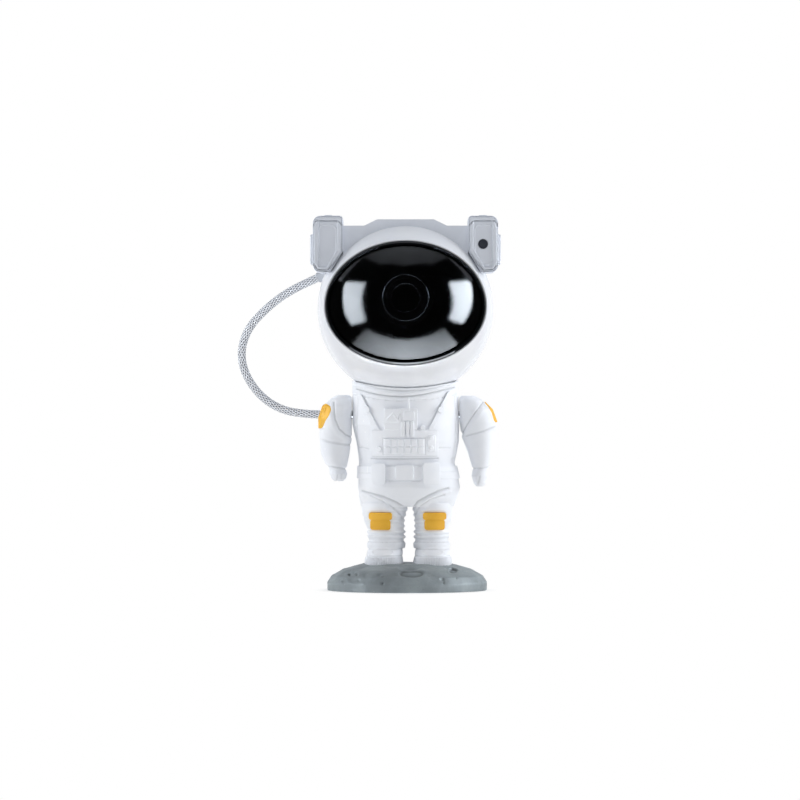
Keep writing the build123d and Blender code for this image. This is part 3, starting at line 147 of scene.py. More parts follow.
SUIT_WHITE = Finish(
    "suit_white", Recipe.PLASTIC, (0.87, 0.885, 0.915), (0.83, 0.85, 0.89), 0.6, wear_and_shade=0.9, gloss=0.2, groove_shade=0.5,
)
SHELL_WHITE = Finish(
    "shell_white", Recipe.PLASTIC, (0.87, 0.885, 0.91), (0.83, 0.845, 0.885), 0.2, 0.05,
    coat=0.35, depth=0.000008, dark_inside=True,
)
FRAME_GREY = Finish(
    "frame_grey", Recipe.PLASTIC, (0.68, 0.71, 0.77), (0.64, 0.67, 0.73), 0.42, wear_and_shade=1.0, gloss=0.35, groove_shade=0.5,
)
BEZEL_GREY = Finish(
    "bezel_grey", Recipe.PLASTIC, (0.006, 0.0065, 0.0075), (0.004, 0.0045, 0.005), 0.03, 0.01, depth=0.0,
)
PATCH_YELLOW = Finish(
    "patch_yellow", Recipe.PLASTIC, (0.86, 0.47, 0.035), (0.79, 0.41, 0.025), 0.5,
    grain=1500.0, depth=0.00004, wear_and_shade=0.25, gloss=0.3,
)
MOON_GREY = Finish(
    "moon_grey", Recipe.REGOLITH, (0.25, 0.285, 0.295), (0.15, 0.17, 0.178), 0.55,
    drift=45.0, grain=900.0, depth=0.00006, wear_and_shade=0.8, groove_shade=0.9,
)
INNER_BLACK = Finish("inner_black", Recipe.PLASTIC, (0.012, 0.012, 0.013), (0.006, 0.006, 0.007), 0.6)
RUBBER_BLACK = Finish(
    "rubber_black", Recipe.PLASTIC, (0.03, 0.03, 0.032), (0.018, 0.018, 0.02), 0.75, grain=1800.0, depth=0.00006,
)
GLAND_GREY = Finish("gland_grey", Recipe.PLASTIC, (0.5, 0.52, 0.56), (0.42, 0.44, 0.48), 0.45)
BUTTON_WHITE = Finish("button_white", Recipe.PLASTIC, (0.74, 0.76, 0.8), (0.7, 0.72, 0.76), 0.28, coat=0.2)
VISOR_SMOKE = Finish("visor_smoke", Recipe.GLASS, (0.26, 0.27, 0.29), (0.23, 0.24, 0.26), 0.012, 0.008)
LENS_GLASS = Finish("lens_glass", Recipe.GLASS, (0.93, 0.95, 0.96), (0.9, 0.92, 0.94), 0.01)
LASER_GLASS = Finish(
    "laser_glass", Recipe.PLASTIC, (0.045, 0.05, 0.062), (0.03, 0.034, 0.042), 0.08, 0.03, coat=0.8, depth=0.000002,
)
RIPPLE_CLEAR = Finish("ripple_clear", Recipe.GLASS, (0.80, 0.86, 0.90), (0.7, 0.78, 0.84), 0.06)
BARE_STEEL = Finish("bare_steel", Recipe.METAL, (0.58, 0.59, 0.6), (0.46, 0.47, 0.48), 0.3)
ALUMINIUM = Finish("aluminium", Recipe.METAL, (0.78, 0.79, 0.8), (0.68, 0.69, 0.7), 0.34)
CAST_IRON = Finish(
    "cast_iron", Recipe.METAL, (0.16, 0.155, 0.15), (0.09, 0.085, 0.08), 0.62, grain=700.0, depth=0.00015,
)
# Steel painted near black as painted shade, for the dark inside of the helmet seen behind the visor.
STEEL_DARKENED_AS_SHADE = Finish("steel_darkened_as_shade", Recipe.METAL, (0.025, 0.026, 0.028), (0.015, 0.016, 0.018), 0.5)
LENS_EDGE = Finish("lens_edge", Recipe.METAL, (0.92, 0.93, 0.95), (0.85, 0.86, 0.88), 0.2, 0.04)
BOARD_GREEN = Finish("board_green", Recipe.BOARD, (0.02, 0.15, 0.06), (0.35, 0.2, 0.06), 0.4)
HOSE_BRAID = Finish("hose_braid", Recipe.BRAID, (0.92, 0.94, 0.98), (0.17, 0.185, 0.215), 0.38)


class Wiring:
    """Adds nodes to one tree and joins them."""

    def __init__(self, tree: bpy.types.NodeTree) -> None:
        """Keeps the tree that the nodes go into."""
        self.tree = tree

    def add(self, kind: str, values: dict | None = None, **traits: object) -> Node:
        """Adds one node.

        Args:
            kind: the node's type name.
            values: what each input gets, by its name or number: a value, or another node's output.
            traits: the node's own settings.

        Returns:
            The new node.
        """
        node = self.tree.nodes.new(kind)
        for name, value in traits.items():
            setattr(node, name, value)
        for key, value in (values or {}).items():
            if isinstance(value, Socket):
                self.tree.links.new(value, node.inputs[key])
            else:
                node.inputs[key].default_value = value
        return node

    def join(self, node: Node, values: dict[str | int, Socket]) -> None:
        """Leads each output into the node's input that its key names."""
        for key, value in values.items():
            self.tree.links.new(value, node.inputs[key])

    def maths(self, operation: str, first: object, second: object = 0.0) -> Socket:
        """Adds a Math node and returns its output."""
        return self.add("ShaderNodeMath", {0: first, 1: second}, operation=operation).outputs[0]

    def ramp(self, value: Socket, low: object, high: object, start: float = 0.0, end: float = 1.0) -> Socket:
        """Eases a value from one range into another.

        Args:
            value: what is eased.
            low: the value that gives start.
            high: the value that gives end.
            start: the result at low.
            end: the result at high.

        Returns:
            The eased value.
        """
        limits = {0: value, 1: low, 2: high, 3: start, 4: end}
        return self.add("ShaderNodeMapRange", limits, interpolation_type="SMOOTHSTEP").outputs[0]

    def blend(self, share: object, first: object, second: object) -> Socket:
        """Mixes two colours and returns the mix."""
        return self.add("ShaderNodeMix", {0: share, 6: first, 7: second}, data_type="RGBA").outputs[2]


def rgba(colour: Colour, share: float = 1.0) -> tuple[float, float, float, float]:
    """Gives a colour, or a darker or lighter share of it, its full opacity."""
    return (*(c * share for c in colour), 1.0)


def blank_material(name: str) -> tuple[bpy.types.Material, Wiring]:
    """Makes a material without nodes.

    Args:
        name: the material's name.

    Returns:
        The material and the wiring of its node tree.
    """
    material = bpy.data.materials.new(name)
    material.use_nodes = True
    material.node_tree.nodes.clear()
    return material, Wiring(material.node_tree)


@dataclass
class Effects:
    """The shader groups that several finishes share. A band is where an eased value starts and ends."""

    made: dict[str, bpy.types.NodeTree] = field(default_factory=dict)
    edge_band: Band = (0.57, 0.72)
    hollow_band: Band = (0.485, 0.38)
    strand_band: Band = (0.12, 0.5)
    gap_band: Band = (0.37, 0.27)
    bowl_band: Band = (0.02, 0.32)
    bowl_share: float = 0.4
    pit_spacing: float = 0.45

    def start(self, name: str, inputs: dict[str, tuple], outputs: dict[str, str]) -> tuple[Wiring, Node, Node]:
        """Starts one group.

        Args:
            name: the group's name.
            inputs: each input's kind and first value.
            outputs: each output's kind.

        Returns:
            The wiring of the group, its input node and its output node.
        """
        tree = bpy.data.node_groups.new(name, "ShaderNodeTree")
        for label, (kind, value) in inputs.items():
            socket = tree.interface.new_socket(name=label, in_out="INPUT", socket_type="NodeSocket" + kind)
            if value is not None:
                socket.default_value = value
        for label, kind in outputs.items():
            tree.interface.new_socket(name=label, in_out="OUTPUT", socket_type="NodeSocket" + kind)
        self.made[name] = tree
        wiring = Wiring(tree)
        return wiring, wiring.add("NodeGroupInput"), wiring.add("NodeGroupOutput")

    def use(self, wiring: Wiring, name: str, values: dict) -> Node:
        """Places a group in a material with that material's own values."""
        return wiring.add("ShaderNodeGroup", values, node_tree=self.made[name])

    def build(self) -> None:
        """Builds every group."""
        self.moulding()
        self.drift()
        self.wear_and_shade()
        self.braid()
        self.regolith()

    def moulding(self) -> None:
        """The fine skin that a mould leaves on plastic or casting leaves on metal."""
        wiring, given, result = self.start(
            "moulding",
            {"Place": ("Vector", None), "Fineness": ("Float", 2600.0), "Depth": ("Float", 0.00002)},
            {"Normal": "Vector"},
        )
        fine = wiring.add("ShaderNodeTexNoise", {
            "Vector": given.outputs["Place"], "Scale": given.outputs["Fineness"], "Detail": 3.0, "Roughness": 0.6,
        })
        bump = wiring.add("ShaderNodeBump", {
            "Strength": 1.0, "Distance": given.outputs["Depth"], "Height": fine.outputs[0],
        })
        wiring.join(result, {"Normal": bump.outputs[0]})

    def drift(self) -> None:
        """The slow change of tone over a moulded or painted surface."""
        wiring, given, result = self.start(
            "tone_drift",
            {
                "Place": ("Vector", None), "Light": ("Color", (1, 1, 1, 1)), "Dark": ("Color", (0, 0, 0, 1)),
                "Scale": ("Float", 60.0), "Contrast": ("Float", 0.3),
            },
            {"Colour": "Color", "Mask": "Float"},
        )
        cloud = wiring.add("ShaderNodeTexNoise", {
            "Vector": given.outputs["Place"], "Scale": given.outputs["Scale"], "Detail": 5.0, "Roughness": 0.55,
        })
        half = wiring.maths("MULTIPLY", given.outputs["Contrast"], 0.5)
        low, high = wiring.maths("SUBTRACT", 0.5, half), wiring.maths("ADD", 0.5, half)
        mask = wiring.ramp(cloud.outputs[0], low, high)
        wiring.join(result, {"Colour": wiring.blend(mask, given.outputs["Dark"], given.outputs["Light"]), "Mask": mask})

    def wear_and_shade(self) -> None:
        """Edges a little lighter, as rubbing and as a painted highlight, and hollows a little darker, as dust and as
        painted shade.
        """
        wiring, given, result = self.start(
            "edge_wear_and_hollow_shade",
            {
                "Colour": ("Color", (1, 1, 1, 1)), "Rubbed_Highlight": ("Color", (1, 1, 1, 1)),
                "Dust_And_Shade": ("Color", (0.5, 0.5, 0.5, 1)), "Amount": ("Float", 0.5),
            },
            {"Colour": "Color"},
        )
        # From pointiness: edges lighter as rubbing and painted highlight, hollows darker as dust and painted shade.
        form = wiring.add("ShaderNodeNewGeometry").outputs["Pointiness"]
        edge = wiring.maths("MULTIPLY", wiring.ramp(form, *self.edge_band), given.outputs["Amount"])
        hollow = wiring.maths("MULTIPLY", wiring.ramp(form, *self.hollow_band), given.outputs["Amount"])
        dusty_and_shaded = wiring.blend(hollow, given.outputs["Colour"], given.outputs["Dust_And_Shade"])
        wiring.join(result, {"Colour": wiring.blend(edge, dusty_and_shaded, given.outputs["Rubbed_Highlight"])})

    def braid(self) -> None:
        """Fine strands that cross over a sleeve, drawn in the sleeve's own coordinates."""
        wiring, given, result = self.start(
            "sleeve_braid",
            {"Along": ("Float", 0.0), "Around": ("Float", 0.0), "Strands": ("Float", float(HOSE_STRANDS))},
            {"Height": "Float", "Gap": "Float"},
        )
        turn = wiring.maths("MULTIPLY", given.outputs["Around"], given.outputs["Strands"])
        lanes = (wiring.maths(sign, given.outputs["Along"], turn) for sign in ("ADD", "SUBTRACT"))
        crossing = wiring.maths("MAXIMUM", *(wiring.maths("PINGPONG", lane, 0.5) for lane in lanes))
        height, gap = wiring.ramp(crossing, *self.strand_band), wiring.ramp(crossing, *self.gap_band)
        wiring.join(result, {"Height": height, "Gap": gap})

    def regolith(self) -> None:
        """Dusty ground with pits of several sizes."""
        wiring, given, result = self.start(
            "regolith",
            {"Place": ("Vector", None), "Fineness": ("Float", 900.0)},
            {"Height": "Float", "Pits": "Float"},
        )
        place, fineness = given.outputs["Place"], given.outputs["Fineness"]
        spacing = wiring.maths("MULTIPLY", fineness, self.pit_spacing)
        pits = wiring.add("ShaderNodeTexVoronoi", {"Vector": place, "Scale": spacing}, feature="SMOOTH_F1")
        dust = wiring.add("ShaderNodeTexNoise", {"Vector": place, "Scale": fineness, "Detail": 6.0, "Roughness": 0.65})
        bowl = wiring.ramp(pits.outputs["Distance"], *self.bowl_band)
        height = wiring.maths("ADD", wiring.maths("MULTIPLY", bowl, self.bowl_share), dust.outputs[0])
        wiring.join(result, {"Height": height, "Pits": wiring.maths("SUBTRACT", 1.0, bowl)})


@dataclass
class Workshop:
    """Makes each finish into a material once and puts it on the parts. Sizes are in metres."""

    frame: dict
    effects: Effects = field(default_factory=Effects)
    made: dict[str, bpy.types.Material] = field(default_factory=dict)
    shell_inside: float = 0.0519
    tone_contrast: float = 0.34
    # Edge lightening and hollow darkening: partly rubbing and dust, partly painted highlight and painted shade.
    rubbed_highlight_share: float = 1.12
    rubbed_highlight_lift: float = 0.03
    dust_and_shade_share: float = 0.62
    groove_shade_share: float = 0.35
    braid_depth: float = 0.00022
    pit_band: Band = (0.45, 1.0)
    pit_shade: float = 0.35
    track_scale: float = 420.0
    track_width: float = 0.03
    mask_light: float = 1.35

    def material(self, finish: Finish) -> bpy.types.Material:
        """Returns the material of a finish, made on its first use."""
        if finish.name not in self.made:
            self.made[finish.name] = self.mix(finish)
        return self.made[finish.name]

    def mix(self, finish: Finish) -> bpy.types.Material:
        """Builds the nodes of one finish.

        Args:
            finish: what the material is made from.

        Returns:
            The material.
        """
        material, wiring = blank_material(finish.name)
        shader = wiring.add("ShaderNodeBsdfPrincipled", {
            "Coat Weight": finish.coat, "Coat Roughness": COAT_ROUGHNESS, "Specular IOR Level": finish.gloss,
        })
        if finish.recipe is Recipe.METAL:
            shader.inputs["Metallic"].default_value = 1.0
        if finish.recipe is Recipe.GLASS:
            shader.inputs["Transmission Weight"].default_value = 1.0
            shader.inputs["IOR"].default_value = ACRYLIC_IOR
        wiring.join(wiring.add("ShaderNodeOutputMaterial"), {0: shader.outputs[0]})
        place = wiring.add("ShaderNodeTexCoord").outputs["Object"]
        colour, normal, mask = self.surface(wiring, finish, place)
        colour = self.age(wiring, finish, colour)
        if finish.dark_inside:
            colour = self.blacken_inside(wiring, colour, place)
        dull, bright = finish.roughness + finish.spread, max(0.0, finish.roughness - finish.spread)
        roughness = wiring.ramp(mask, 0.0, 1.0, dull, bright)
        wiring.join(shader, {"Base Color": colour, "Roughness": roughness, "Normal": normal})
        return material

    def surface(self, wiring: Wiring, finish: Finish, place: Socket) -> tuple[Socket, Socket, Socket]:
        """Lays down a finish as new, before any wear.

        Args:
            wiring: the material's wiring.
            finish: what the material is made from.
            place: the place on the object.

        Returns:
            The colour, the normal and the gloss mask.
        """
        if finish.recipe is Recipe.BRAID:
            return self.braid_nodes(wiring, finish)
        tone = self.effects.use(wiring, "tone_drift", {
            "Place": place, "Light": rgba(finish.colour), "Dark": rgba(finish.shade), "Scale": finish.drift,
            "Contrast": self.tone_contrast,
        })
        if finish.recipe is Recipe.REGOLITH:
            return self.regolith_nodes(wiring, finish, place, tone)
        skin = self.effects.use(wiring, "moulding", {"Place": place, "Fineness": finish.grain, "Depth": finish.depth})
        colour = tone.outputs["Colour"]
        if finish.recipe is Recipe.BOARD:
            colour = self.board_colour(wiring, finish, place)
        return colour, skin.outputs["Normal"], tone.outputs["Mask"]

    def age(self, wiring: Wiring, finish: Finish, colour: Socket) -> Socket:
        """Lightens a colour at the edges, as rubbing and as a painted highlight, darkens it in the hollows, as dust and
        as painted shade, and darkens the pressed lines as painted shade.

        Args:
            wiring: the material's wiring.
            finish: what the material is made from.
            colour: the colour as new.

        Returns:
            The colour with its rubbed edges, painted highlights and painted shade.
        """
        # Edges painted lighter and hollows painted darker: partly rubbing and dust, partly painted highlight and
        # painted shade.
        if finish.wear_and_shade:
            lighter = tuple(min(1.0, c * self.rubbed_highlight_share + self.rubbed_highlight_lift) for c in finish.colour)
            colour = self.effects.use(wiring, "edge_wear_and_hollow_shade", {
                "Colour": colour, "Rubbed_Highlight": rgba(lighter), "Dust_And_Shade": rgba(finish.shade, self.dust_and_shade_share),
                "Amount": finish.wear_and_shade,
            }).outputs["Colour"]
        # Painted shade: the colour is darkened along the pressed-in lines.
        if finish.groove_shade:
            pressed = wiring.add("ShaderNodeAttribute", attribute_name="groove_shade").outputs["Fac"]
            share = wiring.maths("MULTIPLY", pressed, finish.groove_shade)
            colour = wiring.blend(share, colour, rgba(finish.shade, self.groove_shade_share))
        return colour

    def blacken_inside(self, wiring: Wiring, colour: Socket, place: Socket) -> Socket:
        """Paints the inside of the helmet black, so that no light leaks through the shell.

        Args:
            wiring: the material's wiring.
            colour: the colour of the outside.
            place: the place on the object.

        Returns:
            The colour of both sides.
        """
        gap = wiring.add("ShaderNodeVectorMath", {0: place, 1: HEAD_CENTRE}, operation="DISTANCE")
        inside = wiring.maths("LESS_THAN", gap.outputs["Value"], self.shell_inside)
        return wiring.blend(inside, colour, rgba(INNER_BLACK.colour))

    def braid_nodes(self, wiring: Wiring, finish: Finish) -> tuple[Socket, Socket, Socket]:
        """Weaves the sleeve.

        Args:
            wiring: the material's wiring.
            finish: what the material is made from.

        Returns:
            The colour, the normal and the gloss mask.
        """
        split = wiring.add("ShaderNodeSeparateXYZ", {0: wiring.add("ShaderNodeTexCoord").outputs["UV"]})
        weave = self.effects.use(wiring, "sleeve_braid", {
            "Along": split.outputs[0], "Around": split.outputs[1], "Strands": float(HOSE_STRANDS),
        })
        bump = wiring.add("ShaderNodeBump", {"Distance": self.braid_depth, "Height": weave.outputs["Height"]})
        colour = wiring.blend(weave.outputs["Gap"], rgba(finish.colour), rgba(finish.shade))
        return colour, bump.outputs[0], weave.outputs["Height"]

    def regolith_nodes(self, wiring: Wiring, finish: Finish, place: Socket, tone: Node) -> tuple[Socket, ...]:
        """Lays the moon ground.

        Args:
            wiring: the material's wiring.
            finish: what the material is made from.
            place: the place on the object.
            tone: the drift in tone under the dust.

        Returns:
            The colour, the normal and the gloss mask.
        """
        ground = self.effects.use(wiring, "regolith", {"Place": place, "Fineness": finish.grain})
        bump = wiring.add("ShaderNodeBump", {"Distance": finish.depth, "Height": ground.outputs["Height"]})
        pitted = wiring.maths("MULTIPLY", wiring.ramp(ground.outputs["Pits"], *self.pit_band), self.pit_shade)
        colour = wiring.blend(pitted, tone.outputs["Colour"], rgba(finish.shade))
        return colour, bump.outputs[0], tone.outputs["Mask"]

    def board_colour(self, wiring: Wiring, finish: Finish, place: Socket) -> Socket:
        """Draws solder mask with the lines of the tracks under it.

        Args:
            wiring: the material's wiring.
            finish: what the material is made from.
            place: the place on the object.

        Returns:
            The board's colour.
        """
        lanes = wiring.add("ShaderNodeTexBrick", {
            "Vector": place, "Scale": self.track_scale, "Mortar Size": self.track_width,
            "Color1": rgba(finish.colour), "Color2": rgba(finish.colour, self.mask_light), "Mortar": rgba(finish.shade),
        })
        return lanes.outputs["Color"]

    def dress(self, nodes: dict[Finish, tuple[str, ...]]) -> None:
        """Gives CAD nodes their finishes.

        Args:
            nodes: the names of the nodes that each finish goes on.
        """
        for finish, names in nodes.items():
            for name in names:
                mesh = self.frame["nodes"][name].data
                mesh.materials.clear()
                mesh.materials.append(self.material(finish))
                LOG.info("%s dressed in %s", name, finish.name)

    def finish_piece(self, piece: Piece, finish: Finish, slot: str | None = None) -> Piece:
        """Gives a new piece its finish.

        Args:
            piece: the new piece.
            finish: what it is finished in.
            slot: not used.

        Returns:
            The same piece.
        """
        piece.data.materials.clear()
        piece.data.materials.append(self.material(finish))
        LOG.info("%s finished in %s", piece.name, finish.name)
        return piece

    def stand_in(self, piece: Piece, node: str, body: str, finish: Finish) -> None:
        """Lets a new piece stand for a CAD node.

        Args:
            piece: the new piece.
            node: the node that it replaces.
            body: the body that it moves with.
            finish: what it is finished in.
        """
        self.finish_piece(piece, finish)
        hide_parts(node)
        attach(piece, body)


def put(name: str, data: bpy.types.ID) -> Piece:
    """Puts data into the scene.

    Args:
        name: the object's name.
        data: the mesh, curve, lamp or camera that it shows.

    Returns:
        The object.
    """
    piece = bpy.data.objects.new(name, data)
    bpy.context.scene.collection.objects.link(piece)
    return piece


def shade_smooth(mesh: bpy.types.Mesh) -> None:
    """Shades every face of a mesh smooth."""
    mesh.polygons.foreach_set("use_smooth", [True] * len(mesh.polygons))


def add_mesh(name: str, points: np.ndarray, faces: list[tuple[int, ...]]) -> Piece:
    """Makes a smooth mesh object.

    Args:
        name: the object's name.
        points: its corners, in metres.
        faces: the corner numbers of each face.

    Returns:
        The object, in the scene.
    """
    mesh = bpy.data.meshes.new(name)
    mesh.from_pydata([tuple(p) for p in points], [], faces)
    mesh.update()
    shade_smooth(mesh)
    return put(name, mesh)


def add_fan(name: str, heart: Point3, edge: list[Point3]) -> Piece:
    """Makes a flat piece of triangles that meet in its middle.

    Args:
        name: the object's name.
        heart: its middle, in metres.
        edge: the points round it, in metres.

    Returns:
        The object, in the scene.
    """
    count = len(edge)
    return add_mesh(name, np.array([heart, *edge]), [(0, i + 1, (i + 1) % count + 1) for i in range(count)])


def tube_faces(rows: int, ring: int, closed: bool = False) -> list[tuple[int, ...]]:
    """Joins rings of corners into the skin of a tube.

    Args:
        rows: how many rings there are.
        ring: how many corners each has.
        closed: whether the last ring meets the first.

    Returns:
        The corner numbers of each face.
    """
    faces = []
    for i in range(rows if closed else rows - 1):
        here, there = i * ring, (i + 1) % rows * ring
        for j in range(ring):
            k = (j + 1) % ring
            faces.append((here + j, here + k, there + k, there + j))
    return faces


def read_rows(items: bpy.types.bpy_prop_collection, trait: str) -> np.ndarray:
    """Reads a vector of each item of a mesh.

    Args:
        items: the mesh's items.
        trait: which of their vectors is read.

    Returns:
        One row for each item.
    """
    flat = np.zeros(len(items) * 3, np.float32)
    items.foreach_get(trait, flat)
    return flat.reshape(-1, 3).astype(float)


def corners(piece: Piece) -> np.ndarray:
    """Returns a mesh's corners as rows, in metres."""
    return read_rows(piece.data.vertices, "co")


def facings(piece: Piece) -> np.ndarray:
    """Returns the direction each corner of a mesh faces."""
    return read_rows(piece.data.vertex_normals, "vector")


def place_corners(piece: Piece, points: np.ndarray) -> None:
    """Puts a mesh's corners at new places."""
    piece.data.vertices.foreach_set("co", points.astype(np.float32).ravel())
    piece.data.update()


def recast(name: str, sources: list[Piece], voxel: float, soften: int) -> Piece:
    """Casts the shape of CAD nodes again as one fine, even skin that can be modelled.

    Args:
        name: the new piece's name.
        sources: the nodes whose shapes are joined.
        voxel: the width of one face, in millimetres.
        soften: how many times the skin is smoothed.

    Returns:
        The new piece.
    """
    points, faces, count = [], [], 0
    for source in sources:
        mesh = source.data
        points.append(corners(source))
        faces += [tuple(v + count for v in face.vertices) for face in mesh.polygons]
        count += len(mesh.vertices)
    rough = add_mesh(name, np.concatenate(points), faces)
    cast = rough.modifiers.new("cast", "REMESH")
    cast.mode, cast.voxel_size, cast.use_smooth_shade = "VOXEL", voxel * MM, True
    ease = rough.modifiers.new("ease", "SMOOTH")
    ease.factor, ease.iterations = SMOOTH_FACTOR, soften
    mesh = bpy.data.meshes.new_from_object(rough.evaluated_get(bpy.context.evaluated_depsgraph_get()))
    bpy.data.objects.remove(rough)
    mesh.name = name
    shade_smooth(mesh)
    LOG.info("%s cast with %d faces", name, len(mesh.polygons))
    return put(name, mesh)


@dataclass(frozen=True)
class Stroke:
    """A line pressed into a surface, or raised from it, as a sculptor's tool leaves it. In millimetres."""

    points: tuple[Point2, ...]
    width: float
    rise: float
    side: Side = Side.FRONT


@dataclass(frozen=True)
class Dimple:
    """A round pit, or a boss where its rise is above 0, drawn from the front. In millimetres."""

    x: float
    z: float
    radius: float
    rise: float


def slope(values: np.ndarray, start: float, length: float) -> np.ndarray:
    """Returns 0 up to start, 1 from a length past it, and an even rise between them."""
    return np.clip((values - start) / length, 0.0, 1.0)


def bell(gap: np.ndarray, width: float, power: int = 2) -> np.ndarray:
    """Returns 1 in the middle of a mark, dying away over its width."""
    return np.exp(-((gap / width) ** power))


def distance_to_line(places: np.ndarray, points: tuple[Point2, ...]) -> np.ndarray:
    """Measures how far places are from a line of several runs.

    Args:
        places: the places, as rows.
        points: the line's points.

    Returns:
        The distance of each place.
    """
    nearest = np.full(len(places), FAR)
    for start, end in zip(points, points[1:]):
        run = np.subtract(end, start)
        along = np.clip(((places - start) @ run) / max(run @ run, TINY), 0.0, 1.0)
        nearest = np.minimum(nearest, np.linalg.norm(places - (start + along[:, None] * run), axis=1))
    return nearest


def sculpt(
    piece: Piece, strokes: tuple[Stroke, ...], dimples: tuple[Dimple, ...] = (), extra: np.ndarray | None = None,
) -> None:
    """Moves a skin in and out along its own facing, and keeps what is pressed in as painted shade that darkens the
    pressed lines.

    Args:
        piece: the skin.
        strokes: the lines.
        dimples: the pits and bosses.
        extra: a further rise for each corner, in millimetres.
    """
    places, ways = corners(piece) / MM, facings(piece)
    flat = places[:, FRONT_AXES]
    rise = np.zeros(len(places)) if extra is None else extra.copy()
    groove_shade = np.zeros(len(places))
    marks = [(s.side, s.width, s.rise, distance_to_line(flat, s.points)) for s in strokes]
    marks += [(Side.FRONT, d.radius, d.rise, np.hypot(flat[:, 0] - d.x, flat[:, 1] - d.z)) for d in dimples]
    for side, width, lift, gap in marks:
        seen = 1.0 if side is Side.BOTH else np.clip((ways @ np.array(side.value)) * FACING_GAIN, 0.0, 1.0)
        rise += lift * bell(gap, width) * seen
        # Painted shade: the deeper a corner is pressed in, the darker its colour is painted.
        groove_shade = np.maximum(groove_shade, -lift * bell(gap, GROOVE_SHADE_WIDTH * width) * seen)
    place_corners(piece, (places + ways * rise[:, None]) * MM)
    layer = piece.data.attributes.new("groove_shade", "FLOAT", "POINT")
    layer.data.foreach_set("value", np.minimum(groove_shade, 1.0).astype(np.float32))


def inset(places: np.ndarray, outline: tuple[Point2, ...]) -> np.ndarray:
    """Measures how far inside a closed outline places are.

    Args:
        places: the places, as rows.
        outline: the outline's points.

    Returns:
        The distance of each place, which is below 0 outside the outline.
    """
    closed = (*outline, outline[0])
    inside = np.zeros(len(places), bool)
    for (ax, az), (bx, bz) in zip(closed, closed[1:]):
        crosses = (az > places[:, 1]) != (bz > places[:, 1])
        inside ^= crosses & (places[:, 0] < ax + (bx - ax) * (places[:, 1] - az) / ((bz - az) or TINY))
    return np.where(inside, 1.0, -1.0) * distance_to_line(places, closed)


def oval(x: float, z: float, half_width: float, half_height: float) -> tuple[Point2, ...]:
    """Returns a closed oval line."""
    turns = np.linspace(0, FULL_TURN, OVAL_POINTS)
    return tuple((x + half_width * math.cos(t), z + half_height * math.sin(t)) for t in turns)


def mirrored(strokes: tuple[Stroke, ...]) -> tuple[Stroke, ...]:
    """Returns front strokes together with softer ones at the same places on the back."""
    return strokes + tuple(Stroke(s.points, s.width, s.rise * BACK_SHARE, Side.BACK) for s in strokes)


@dataclass(frozen=True)
class Card:
    """A white card whose reflection shows in the visor.

    outline is where its edge shows in the camera's view, in view units from the top left. strength is how
    bright it is at full glow, middle is the glow of its middle, and rim is the glow of its edge: one value
    for all of it, or one for each point of the outline.
    """

    name: str
    outline: tuple[Point2, ...]
    strength: float
    middle: float
    rim: tuple[float, ...]


@dataclass(frozen=True)
class SoftBox:
    """A square lamp with a cloth front. In metres and watts."""

    name: str
    place: Point3
    size: float
    power: float


LEFT_CARD = Card("left_card", (
    (344.9, 282.5), (355.0, 282.2), (365.2, 283.2), (362.4, 291.7), (361.7, 301.5), (362.8, 311.3), (365.9, 320.4),
    (359.0, 323.3), (351.9, 325.3), (345.3, 314.1), (342.8, 301.5), (343.2, 291.7),
), 13.0, 1.0, (0.8,))
RIGHT_CARD = Card("right_card", (
    (448.7, 282.5), (459.0, 281.4), (469.7, 281.1), (472.4, 291.7), (472.1, 302.9), (468.3, 314.1), (462.7, 323.9),
    (456.0, 321.9), (449.1, 319.0), (452.5, 309.9), (453.2, 301.5), (451.9, 291.7),
), 17.5, 1.0, (0.85,))
LOW_CARD = Card("low_card", (
    (366.6, 328.8), (384.9, 336.8), (405.9, 340.0), (426.9, 336.8), (443.8, 328.1), (457.8, 346.1), (447.0, 355.0),
    (428.0, 361.5), (405.0, 364.0), (380.0, 362.0), (362.0, 356.0), (351.2, 346.4),
), 15.0, 0.6, (0.1, 0.25, 0.38, 0.3, 0.12, 0.42, 0.75, 0.95, 1.0, 0.9, 0.4, 0.1))
TOP_CARD = Card("top_card", (
    (349.1, 258.7), (379.2, 264.3), (405.9, 266.0), (432.5, 264.3), (459.2, 258.3), (450.0, 245.0), (430.0, 238.0),
    (405.9, 236.0), (380.0, 238.0), (361.0, 245.0),
), 0.8, 1.0, (0.25, 0.45, 0.5, 0.45, 0.25, 0.6, 1.0, 1.0, 1.0, 0.6))


